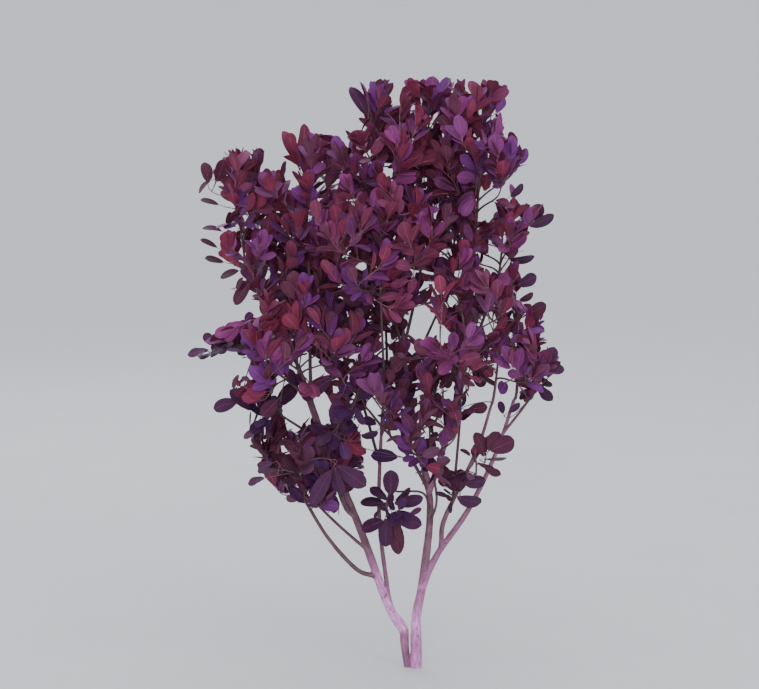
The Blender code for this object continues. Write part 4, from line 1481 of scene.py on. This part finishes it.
    def add_twigs(self, count: int) -> None:
        """Adds the twigs of the solid, from its stem to places spread through the space.

        Args:
            count: How many there are at most.
        """
        line = [self.stem[1].lerp(self.stem[2], t / 4) for t in range(4)]
        line += [self.stem[2].lerp(self.stem[3], t / 5) for t in range(5)]
        for target in self.space.targets(count, line + [self.stem[3]]):
            if not Crown.shows(target, self.shoot_stray):
                continue
            for start in sorted(line, key=lambda place: self.strain(target - place))[:5]:
                if (target - start).length >= SHORTEST_TWIG:
                    self.branch(self.shoots[:1], target, self.turn(), Kind.TWIG, start)
                    break

    def add_shoots(self, count: int) -> None:
        """Adds finer shoots, from the twigs and the stem out to places near the edge of the space.

        Args:
            count: How many there are at most, besides the leaders.
        """
        held = [point for shoot in self.shoots for point in shoot.path[len(shoot.path) // 2:]]
        for leader in LEADERS.get(self.mass.name, ()):
            tip = Vector(metres(*leader[:3]))
            self.branch(self.shoots, tip, Vector(leader[3:] or UP), Kind.LEADER)
            held.append(tip)
        bearers = list(self.shoots)
        for target in self.space.targets(count, held, self.tip_share):
            if Crown.shows(target, self.shoot_stray):
                self.branch(bearers, target, self.turn(), Kind.FINE)

    def turn(self) -> Vector:
        """The way that a shoot's tip turns to: up, or sideways and down in the mass that hangs.

        Returns:
            The direction.
        """
        draw = self.rng.uniform
        if self.hangs:
            return Vector((draw(-1, 1), draw(-0.6, 0.3), draw(-0.8, 0.4)))
        return UP + Vector((draw(-0.25, 0.25), draw(-0.25, 0.25), 0))

    def branch(self, bearers: list[Shoot], target: Vector, points: Vector, kind: Kind,
               beside: Vector | None = None, slope: float = SHOOT_SLOPE) -> None:
        """Adds a shoot from the best place on some others to a target.

        A twig or a fine shoot is left out where it is too short or long, or passes outside the crown.

        Args:
            bearers: The shoots that it may leave.
            target: Its tip.
            points: The way that its tip turns to.
            kind: Its kind.
            beside: A place that it leaves near to, or the least strained place if there is none.
            slope: How steeply it would rather rise.
        """
        options = []
        for shoot in bearers:
            for index in range(1, len(shoot.path)):
                place = shoot.path[index]
                score = (place - beside).length if beside else self.strain(target - place, slope)
                options.append((score, shoot, index))
        _, shoot, index = min(options, key=lambda option: option[0])
        start = shoot.path[index]
        reach = (target - start).length
        keeps_in = kind in (Kind.TWIG, Kind.FINE)
        if keeps_in and reach < 0.5 * SHORTEST_TWIG or kind is Kind.FINE and reach > self.longest_shoot:
            return
        runs = (start - shoot.path[index - 1]).normalized()
        along = sum((b - a).length for a, b in zip(shoot.path[:index], shoot.path[1:index + 1]))
        path = self.curve(start, runs, target, points)
        if not keeps_in or all(Crown.within(point, self.shoot_stray) for point in path[len(path) // 3:]):
            self.shoots.append(Shoot(path, kind, kind.value.base, shoot, along))

    def form_for(self, place: int) -> LeafForm:
        """The form of a leaf by how far below the tip it stands.

        Args:
            place: 0 at the tip.

        Returns:
            The form.
        """
        if place == 0:
            return self.rng.choice((LeafForm.YOUNG, LeafForm.FOLDED))
        if place < 3:
            return self.rng.choice((LeafForm.CUPPED, LeafForm.FOLDED, LeafForm.FLAT))
        return self.rng.choice((
            LeafForm.FLAT, LeafForm.CUPPED, LeafForm.ARCHED, LeafForm.TWISTED, LeafForm.WAVY, LeafForm.ROUND))

    def settles(self, place: Matrix, stray: float) -> bool:
        """Tries a leaf in a place, and keeps its rough solid if it fits.

        Args:
            place: What moves the pattern there.
            stray: How far past the edge of the crown it may stand out.

        Returns:
            True if it keeps to its room and touches nothing.
        """
        corners = self.rough.at(place)
        for corner in corners:
            if not Crown.shows(corner, stray) or not self.space.holds(corner, self.wall_slack):
                return False
        tree = self.rough.tree(corners)
        if tree.overlap(self.wood) or self.crowding.touches(corners[-1], tree):
            return False
        self.crowding.add(corners[-1], tree)
        return True

    def add_leaves(self, shoot: Shoot) -> None:
        """Leaves round a shoot: upright and small at its tip, larger and spreading below.

        Args:
            shoot: The shoot.
        """
        rng = self.rng
        dress = self.palette.dress(rng, shoot.path[-1])
        phase = rng.uniform(0, 2 * math.pi)
        reach = shoot.length()
        lean = self.dark_lean if self.mass.tone == "dark" else self.leaf_lean
        if self.hangs:
            lean = self.hanging_lean
        for place, whole in enumerate(self.leaf_sizes):
            back = self.spacing * place + self.spacing_growth * place ** 2
            if back > 0.9 * reach:
                break
            root, axis = shoot.back_from_tip(back)
            across = axis.orthogonal().normalized()
            spread = math.radians(self.spread + self.spread_growth * place ** 0.9 + rng.uniform(-6, 6))
            stray = rng.uniform(*self.far_stray) if rng.random() < self.far_share else self.leaf_stray
            form = self.form_for(place)
            for attempt in range(self.attempts):
                angle = phase + place * GOLDEN_ANGLE + attempt * self.turn_a_try
                out = Matrix.Rotation(angle, 3, axis) @ across
                along = (axis * math.cos(spread) + out * math.sin(spread) + UP * lean).normalized()
                size = self.mass.leaf_size * whole * rng.uniform(0.9, 1.12)
                if attempt >= self.full_attempts:
                    size *= 0.8
                width = rng.uniform(0.92, 1.08)
                roll = rng.uniform(-0.55, 0.55)
                matrix = self.leaf_place(root, along, axis + UP * 0.6, roll, size * width, size)
                if self.settles(matrix, stray):
                    self.leaves.append(Leaf(form, matrix, dress))
                    shoot.used = max(shoot.used, reach - back)
                    break


@dataclass
class LeafPieces:
    """The leaves, joined into pieces by the colour of their masses."""

    most_triangles: int = 185000
    leaves: dict = field(default_factory=dict)

    def add(self, mass: Mass, leaves: list[Leaf]) -> None:
        """Keeps the leaves of a mass."""
        self.leaves.setdefault(mass.tone, []).append((mass.name, leaves))

    def build(self) -> None:
        """Builds the pieces, each of whole masses of one tone and not over the most triangles."""
        patterns = {form: LeafPattern(form).arrays() for form in LeafForm}
        finishes = [*Tint, *Back, *Stalk]
        self.materials = [finish.value.material() for finish in finishes]
        self.slots = {finish: index for index, finish in enumerate(finishes)}
        each = 2 * len(patterns[LeafForm.FLAT]["faces"])
        for tone, masses in sorted(self.leaves.items()):
            batches = [[]]
            for name, leaves in masses:
                if each * (sum(len(some) for _, some in batches[-1]) + len(leaves)) > self.most_triangles:
                    batches.append([])
                batches[-1].append((name, leaves))
            for index, batch in enumerate(batches):
                name = f"leaves_{tone}_{'abcdef'[index]}"
                mesh = self.joined(name, [leaf for _, some in batch for leaf in some], patterns)
                add_piece(name, mesh, [mass for mass, _ in batch], 48)

    def joined(self, name: str, leaves: list[Leaf], patterns: dict) -> Mesh:
        """One mesh of many leaves, from arrays.

        Args:
            name: The mesh's name.
            leaves: The leaves.
            patterns: The arrays of each form.

        Returns:
            The mesh.
        """
        corners, faces, slots, maps = [], [], [], []
        first = 0
        for leaf in leaves:
            pattern = patterns[leaf.form]
            matrix = np.array(leaf.place)
            corners.append(pattern["corners"] @ matrix[:3, :3].T + matrix[:3, 3])
            faces.append(pattern["faces"] + first)
            first += len(pattern["corners"])
            wears = np.array([self.slots[part] for part in (leaf.dress.tint, leaf.dress.back, leaf.dress.stalk)])
            slots.append(wears[pattern["sides"]])
            maps.append(pattern["maps"])
        mesh = bpy.data.meshes.new(name)
        mesh.from_pydata(np.concatenate(corners), [], np.concatenate(faces))
        for material in self.materials:
            mesh.materials.append(material)
        mesh.polygons.foreach_set("material_index", np.concatenate(slots).astype(np.int32))
        layer = mesh.uv_layers.new(name="blade")
        layer.data.foreach_set("uv", np.concatenate(maps).astype(np.float32).ravel())
        mesh.update()
        return mesh


@dataclass
class Tubes:
    """Closed round tubes along lines, from one bevelled curve, with each point's place round and along its line.

    Each line has its points and the tube's radius at each.
    """

    resolution: int
    lines: list = field(default_factory=list)

    def mesh(self, name: str) -> Mesh:
        """Makes the tubes.

        Args:
            name: The mesh's name.

        Returns:
            The mesh, marked for the pattern of the bark.
        """
        curve = bpy.data.curves.new(name, "CURVE")
        curve.dimensions = "3D"
        curve.bevel_depth = 1.0
        curve.bevel_resolution = self.resolution
        for path, radii in self.lines:
            spline = curve.splines.new("POLY")
            spline.points.add(len(path) - 1)
            for point, place, radius in zip(spline.points, path, radii):
                point.co = (*place, 1.0)
                point.radius = radius
        guide = linked(name, curve)
        mesh = bpy.data.meshes.new_from_object(guide.evaluated_get(bpy.context.evaluated_depsgraph_get()))
        bpy.data.objects.remove(guide)
        bpy.data.curves.remove(curve)
        sides = 4 + 2 * self.resolution
        turn = [2 * math.pi * side / sides for side in range(sides)]
        places, girths = [], []
        for number, (path, radii) in enumerate(self.lines):
            along = LINE_SHIFT * number
            for index, (point, radius) in enumerate(zip(path, radii)):
                along += (point - path[max(index - 1, 0)]).length
                places += [(radius * math.cos(angle), radius * math.sin(angle), along) for angle in turn]
                girths += [radius] * sides
        mark_wood(mesh, np.array(places, np.float32), np.array(girths, np.float32))
        shape = bmesh.new()
        shape.from_mesh(mesh)
        rims = [edge for edge in shape.edges if edge.is_boundary]
        bmesh.ops.holes_fill(shape, edges=rims, sides=0)
        shape.to_mesh(mesh)
        shape.free()
        return mesh


@dataclass
class TwigPiece:
    """The stems of the masses and every twig and shoot in them, joined.

    Their girth swells at every other point.
    """

    thinning: float = 0.9
    swellings: tuple = (0.98, 1.08)
    lines: list = field(default_factory=list)

    def add(self, shoot: Shoot) -> None:
        """Adds the line of a shoot.

        Args:
            shoot: The shoot.
        """
        radii = Skeleton.tapered(shoot.path, shoot.base_radius, shoot.kind.value.tip, self.thinning)
        radii = [radius * self.swellings[index % 2] for index, radius in enumerate(radii)]
        self.lines.append((shoot.path, radii))

    def build(self, material: Material) -> None:
        """Builds the piece.

        Args:
            material: The bark.
        """
        mesh = Tubes(1, self.lines).mesh("twigs")
        mesh.materials.append(material)
        add_piece("twigs", mesh, [mass.name for mass in MASSES], 70)


@dataclass
class Bark:
    """The foot, stems and boughs as one skin of bark, with collars at the forks and a fine relief.

    The height tables paint light and shade into the bark's colour. On the bend of the stems, about 0.09 m to
    0.24 m up, and again about 0.5 m to 0.75 m up, it is paler, as painted highlight. About 0.25 m to 0.45 m up it is
    darker, as painted shade under the crown, and the left stem's foot is darker too, as painted shade. The limb table
    says by how much each limb's bark looks older or younger than its girth.
    """

    skeleton: Skeleton
    voxel: float = 0.00125
    most_triangles: int = 190000
    collar: float = 0.2
    collar_reach: float = 1.5
    elbow: float = 0.11
    elbow_height: float = 0.107
    elbow_reach: float = 0.011
    swelling: float = 0.055
    swelling_top: float = 0.122
    swelling_fade: float = 0.008
    lump: float = 0.05
    lump_scale: float = 38.0
    left_join: float = 0.124
    left_foot: tuple = ((-0.0118, 0.005, -0.006), (-0.0176, 0.004, 0.03), (-0.0212, 0.002, 0.066),
                        (-0.0238, 0.0, 0.096))
    left_foot_girth: float = 0.74
    left_foot_gain: float = 0.24
    right_foot: tuple = ((0.0068, 0.0, -0.006), (0.0074, 0.0, 0.012))
    even_rounds: int = 3
    crotch_rounds: int = 14
    crotch_reach: float = 2.0
    lumps: float = 0.00048
    streaks: float = 0.0002
    rings: float = 0.00045
    full_relief: float = 0.008
    # Painted light and shade by height: paler where light falls on the stems, darker where the crown shades them
    ages: tuple = (
        (0.0, 0.84), (0.03, 0.82), (0.07, 0.82), (0.095, 1.1), (0.118, 1.3), (0.14, 1.08), (0.165, 0.88),
        (0.19, 0.74), (0.215, 0.64), (0.265, 0.5), (0.35, 0.46), (0.43, 0.52), (0.53, 0.8), (0.7, 0.85),
        (0.85, 0.66), (2.0, 0.56))
    # The same painted highlight and shade for the left stem, whose foot is also darkened as painted shade
    left_shade_and_highlight_by_height: tuple = (
        (0.0, 0.72), (0.088, 0.75), (0.106, 1.4), (0.13, 1.55), (0.2, 1.42), (0.24, 1.18), (0.264, 0.86),
        (0.29, 0.6), (0.32, 0.44), (0.4, 0.46), (0.45, 0.6), (0.55, 0.9), (0.75, 0.9), (2.0, 0.6))
    limb_ages: dict = field(default_factory=lambda: {
        "left_stem": 0.98, "right_stem": 1.1, "right_bough": 1.85, "inner_right_bough": 1.6,
        "centre_right_bough": 1.35, "right_outer_bough": 1.7, "back_stem": 1.7, "low_left_bough": 1.1,
        "low_left_spur": 1.9, "thin_upright": 0.6, "left_twin_bough": 1.1})

    def swell(self, limb: Limb, point: Vector, start: Vector, girth: float) -> float:
        """By what share a limb is thicker at a point than its taper.

        Args:
            limb: The limb.
            point: The point of its axis.
            start: Where its axis starts.
            girth: The parent's radius there.

        Returns:
            The share: the left stem has an elbow, the right one a thicker base and every other limb a collar.
        """
        if limb.name == "left_stem":
            return self.elbow * math.exp(-((point.z - self.elbow_height) / self.elbow_reach) ** 2)
        if limb.name == "right_stem":
            return self.swelling / (1 + math.exp((point.z - self.swelling_top) / self.swelling_fade))
        off = max(0.0, (point - start).length - girth)
        return self.collar * math.exp(-(off / (self.collar_reach * girth)) ** 2)

    def lines(self) -> list[tuple[Limb, list[Vector], list[float]]]:
        """The limbs, with the two stems led down to the ground.

        Returns:
            Each limb, its axis and its radius at each point.
        """
        lines = []
        for limb in LIMBS:
            path, radii = self.skeleton.fine[limb.name], self.skeleton.radii[limb.name]
            start, girth = path[0], 0.0
            if limb.name == "left_stem":
                kept = next(index for index, point in enumerate(path) if point.z > self.left_join)
                lead = Skeleton.smooth([*map(Vector, self.left_foot), path[kept]], FINE_STEP)[:-1]
                low = [radii[0] * (self.left_foot_girth + self.left_foot_gain * max(0.0, point.z) / 0.1)
                       for point in lead]
                path, radii = lead + path[kept:], low + radii[kept:]
            elif limb.name == "right_stem":
                lead = Skeleton.smooth([*map(Vector, self.right_foot), path[0]], FINE_STEP)[:-1]
                path, radii = lead + path, [radii[0]] * len(lead) + radii
            else:
                girth = self.girth_of(limb.parent, start)
            own = Vector((0, 0, limb.base_radius))
            swollen = []
            for point, radius in zip(path, radii):
                radius *= 1 + self.swell(limb, point, start, girth)
                swollen.append(radius * (1 + self.lump * noise.noise(point * self.lump_scale + own)))
            lines.append((limb, path, swollen))
        return lines

    def girth_of(self, name: str, point: Vector) -> float:
        """The radius of a limb where it is nearest to a point."""
        stations = zip(self.skeleton.fine[name], self.skeleton.radii[name])
        return min(stations, key=lambda station: (station[0] - point).length)[1]

    @staticmethod
    def finished(thing: Object, kind: str, **settings) -> None:
        """Runs one modifier on an object and keeps its result as the object's mesh.

        Args:
            thing: The object.
            kind: The modifier's type.
            settings: Its settings.
        """
        modifier = thing.modifiers.new("finish", kind)
        for key, value in settings.items():
            setattr(modifier, key, value)
        evaluated = thing.evaluated_get(bpy.context.evaluated_depsgraph_get())
        mesh = bpy.data.meshes.new_from_object(evaluated)
        thing.modifiers.clear()
        thing.data = mesh

    @staticmethod
    def smoothed(shape: BMesh, verts: list, rounds: int) -> None:
        """Smooths some corners of a bmesh a few times."""
        for _ in range(rounds):
            bmesh.ops.smooth_vert(shape, verts=verts, factor=0.5, use_axis_x=True, use_axis_y=True, use_axis_z=True)

    def soften(self, thing: Object) -> None:
        """Cuts the skin flat at the ground, smooths it all over and rounds the crotches.

        Args:
            thing: The object of the skin.
        """
        starts, reaches = [], []
        for limb in LIMBS:
            if limb.parent != "foot":
                start = self.skeleton.fine[limb.name][0]
                starts.append(start)
                reaches.append(self.crotch_reach * (self.girth_of(limb.parent, start) + limb.base_radius / 1000))
        finder = finder_of(starts)
        shape = bmesh.new()
        shape.from_mesh(thing.data)
        cut = bmesh.ops.bisect_plane(
            shape, geom=[*shape.verts, *shape.edges, *shape.faces], plane_co=(0, 0, 0), plane_no=(0, 0, 1),
            clear_inner=True)["geom_cut"]
        rim = [part for part in cut if isinstance(part, BMEdge)]
        bmesh.ops.holes_fill(shape, edges=rim, sides=0)
        standing = [vert for vert in shape.verts if vert.co.z > 1e-5]
        self.smoothed(shape, standing, self.even_rounds)
        crotch = []
        for vert in standing:
            _, index, distance = finder.find(vert.co)
            if distance < reaches[index]:
                crotch.append(vert)
        self.smoothed(shape, crotch, self.crotch_rounds)
        bmesh.ops.triangulate(shape, faces=shape.faces)
        shape.to_mesh(thing.data)
        shape.free()

    def relief(self, place: Vector, radius: float) -> float:
        """How far the skin stands out at a point: lumps, streaks along the limb and rings round it.

        Args:
            place: The point's place across and along its limb.
            radius: The limb's radius there.

        Returns:
            The height in metres.
        """
        lump = noise.noise(Vector((place.x, place.y, place.z * 0.6)) * 95.0)
        streak = noise.noise(Vector((place.x * 420.0, place.y * 420.0, place.z * 45.0)))
        ring = max(0.0, noise.noise(Vector((place.x * 30.0, place.y * 30.0, place.z * 260.0))) - 0.18)
        return min(1.0, radius / self.full_relief) * (self.lumps * lump + self.streaks * streak + self.rings * ring)

    def stations(self, lines: list) -> list[tuple]:
        """The points of the limbs' axes, for the pattern of the bark.

        Args:
            lines: The limbs' axes and girths.

        Returns:
            For each point itself, its radius, how far along it is, what turns its limb upright and how thick its
            bark looks, with the painted shade and highlight of its height in it.
        """
        stations = []
        for number, (limb, path, radii) in enumerate(lines):
            along = LINE_SHIFT * number
            age = self.limb_ages.get(limb.name, 1.0)
            ages = tuple(zip(*(self.left_shade_and_highlight_by_height if limb.name == "left_stem" else self.ages)))
            for index, (point, radius) in enumerate(zip(path, radii)):
                ahead = path[min(index + 1, len(path) - 1)]
                behind = path[max(index - 1, 0)]
                along += (point - behind).length
                upright = (ahead - behind).normalized().rotation_difference(UP)
                # the painted shade and highlight of the height go into how thick the bark looks
                girth = radius * age * float(np.interp(point.z, *ages))
                stations.append((point, radius, along, upright, girth))
        return stations

    def engrave(self, mesh: Mesh, lines: list) -> None:
        """Gives the skin its relief, and marks it for the pattern of the bark.

        Args:
            mesh: The skin.
            lines: The limbs' axes and girths.
        """
        stations = self.stations(lines)
        finder = finder_of([station[0] for station in stations])
        places, girths, moved = [], [], []
        for vert, normal in zip(mesh.vertices, [normal.vector.copy() for normal in mesh.vertex_normals]):
            near = finder.find_n(vert.co, 4)
            _, index, _ = min(near, key=lambda found: found[2] - stations[found[1]][1])
            point, radius, along, upright, girth = stations[index]
            local = upright @ (vert.co - point)
            place = Vector((local.x, local.y, along + local.z))
            height = self.relief(place, radius) if vert.co.z >= 0.0005 else 0.0
            moved.append(vert.co + normal * height)
            places.append(place)
            girths.append(girth)
        mesh.vertices.foreach_set("co", np.array(moved, np.float32).ravel())
        mark_wood(mesh, np.array(places, np.float32), np.array(girths, np.float32))
        mesh.update()

    def build(self, material: Material) -> None:
        """Builds the skin.

        Args:
            material: The bark.
        """
        lines = self.lines()
        tubes = Tubes(6, [(path, radii) for _, path, radii in lines])
        thing = linked("limb_tubes", tubes.mesh("limb_tubes"))
        self.finished(thing, "REMESH", mode="VOXEL", voxel_size=self.voxel, use_smooth_shade=True)
        self.soften(thing)
        triangles = len(thing.data.polygons)
        LOG.info("bark before thinning: %d triangles", triangles)
        if triangles > self.most_triangles:
            self.finished(thing, "DECIMATE", ratio=self.most_triangles / triangles)
        mesh = thing.data
        bpy.data.objects.remove(thing)
        mesh.name = "bark"
        for name in ("limb_place", "girth"):
            if name in mesh.attributes:
                mesh.attributes.remove(mesh.attributes[name])
        mesh.materials.clear()
        mesh.materials.append(material)
        self.engrave(mesh, lines)
        add_piece("bark", mesh, ["foot", *(limb.name for limb in LIMBS)], 60)


@dataclass(frozen=True)
class FloorFinish(Finish):
    """A plain pale floor with a faint unevenness."""

    colour: tuple = (0.6, 0.6, 0.595)
    paler: tuple = (0.618, 0.618, 0.61285)

    def looks(self, graph: Graph) -> dict:
        """The floor is a little paler in wide blotches."""
        mask = graph.group("mottle", Vector=graph.place(), Scale=3.0)["Mask"]
        return {"Base Color": graph.blend(mask, self.colour, self.paler), "Roughness": 0.9}


@dataclass
class Studio:
    """The floor, the soft lights and the camera at the photograph's view."""

    flat_radius: float = 7.0
    rim_radius: float = 5.0
    rim_steps: int = 16
    aim: tuple = (-0.08, 0, 0.85)
    sky_colour: tuple = (0.86, 0.9, 1.0, 1.0)
    sky_strength: float = 1.55
    lights: tuple = (
        ("key_light", (2.6, -3.2, 4.4), 2.4, 38.0, (1.0, 0.97, 0.94)),
        ("front_light", (-0.4, -5.8, 2.1), 1.6, 160.0, (1.0, 0.98, 0.97)),
        ("back_light", (-1.6, 3.4, 3.2), 2.4, 40.0, (0.95, 0.96, 1.0)))

    def floor(self) -> None:
        """Lays a round floor whose rim curves up into a low wall."""
        shape = bmesh.new()
        profile = [shape.verts.new((0, 0, 0)), shape.verts.new((self.flat_radius, 0, 0))]
        for step in range(1, self.rim_steps + 1):
            angle = math.pi / 2 * step / self.rim_steps
            across = self.flat_radius + self.rim_radius * math.sin(angle)
            profile.append(shape.verts.new((across, 0, self.rim_radius * (1 - math.cos(angle)))))
        edges = [shape.edges.new(pair) for pair in zip(profile, profile[1:])]
        bmesh.ops.spin(shape, geom=profile + edges, cent=(0, 0, 0), axis=(0, 0, 1), angle=2 * math.pi, steps=96,
                       use_merge=True)
        bmesh.ops.remove_doubles(shape, verts=shape.verts, dist=1e-5)
        bmesh.ops.recalc_face_normals(shape, faces=shape.faces)
        mesh = bpy.data.meshes.new("floor")
        shape.to_mesh(mesh)
        shape.free()
        mesh.shade_smooth()
        mesh.materials.append(FloorFinish("pale_floor").material())
        floor = linked("floor", mesh)

    def sky(self) -> None:
        """Sets the pale, even surroundings."""
        world = bpy.data.worlds.new("surroundings")
        world.use_nodes = True
        shade = world.node_tree.nodes["Background"]
        shade.inputs["Color"].default_value = self.sky_colour
        shade.inputs["Strength"].default_value = self.sky_strength
        bpy.context.scene.world = world

    def light(self, name: str, place: tuple, size: float, power: float, colour: tuple) -> None:
        """Hangs a square soft light that faces the middle of the bush.

        Args:
            name: Its name.
            place: Where it hangs.
            size: The side of its square.
            power: In watts.
            colour: Its colour.
        """
        lamp = bpy.data.lights.new(name, "AREA")
        lamp.shape = "SQUARE"
        lamp.size = size
        lamp.energy = power
        lamp.color = colour
        self.stand(linked(name, lamp), Vector(place), Vector(self.aim))

    @staticmethod
    def stand(thing: Object, place: Vector, aim: Vector) -> None:
        """Stands a light or the camera at a place, facing another."""
        thing.location = place
        thing.rotation_euler = (aim - place).to_track_quat("-Z", "Y").to_euler()

    def camera(self) -> None:
        """Sets the camera."""
        lens = bpy.data.cameras.new("camera")
        lens.lens = LENS
        lens.sensor_width = SENSOR
        lens.clip_end = 200.0
        thing = linked("camera", lens)
        self.stand(thing, CAMERA_PLACE, CAMERA_AIM)
        bpy.context.scene.camera = thing

    def build(self) -> None:
        """Builds the studio."""
        self.camera()
        self.floor()
        self.sky()
        for light in self.lights:
            self.light(*light)


class SmokeBush:
    """The whole bush: bark, twigs and leaves."""

    def __init__(self) -> None:
        """Sets up what the pieces share."""
        self.skeleton = Skeleton()
        self.bark_finish = BarkFinish("bark_skin").material()

    @staticmethod
    def wood_surface() -> BVHTree:
        """The surfaces of the solids' limbs, for touch tests.

        Returns:
            Their search tree.
        """
        corners, faces = [], []
        for name in ["foot", *(limb.name for limb in LIMBS)]:
            mesh = frame["nodes"][name].data
            first = len(corners)
            corners += [vert.co.copy() for vert in mesh.vertices]
            faces += [tuple(first + index for index in face.vertices) for face in mesh.polygons]
        return BVHTree.FromPolygons(corners, faces)

    def build(self) -> None:
        """Builds every piece: the bark, then what all the masses bear, first their twigs and clear leaves."""
        Bark(self.skeleton).build(self.bark_finish)
        wood = self.wood_surface()
        crowding = Crowding()
        tips = {limb.name: limb.tip_radius / 1000 for limb in LIMBS}
        growths = []
        for mass in MASSES:
            path = self.skeleton.paths[mass.limb]
            growths.append(MassGrowth(mass, Space(mass), path, tips[mass.limb], wood, crowding))
            growths[-1].start()
        twigs = TwigPiece()
        pieces = LeafPieces()
        for growth in growths:
            growth.grow()
            for shoot in growth.shoots:
                twigs.add(shoot)
            pieces.add(growth.mass, growth.leaves)
            LOG.info("%s: %d shoots, %d leaves", growth.mass.name, len(growth.shoots), len(growth.leaves))
        twigs.build(self.bark_finish)
        pieces.build()
        LOG.info("%d leaves in all", sum(len(growth.leaves) for growth in growths))


def main() -> None:
    """Builds the studio and the bush."""
    logging.basicConfig(level=logging.INFO, format="%(name)s: %(message)s")
    noise.seed_set(NOISE_SEED)
    ShaderGroups()
    Studio().build()
    SmokeBush().build()


if __name__ == "__main__":
    main()
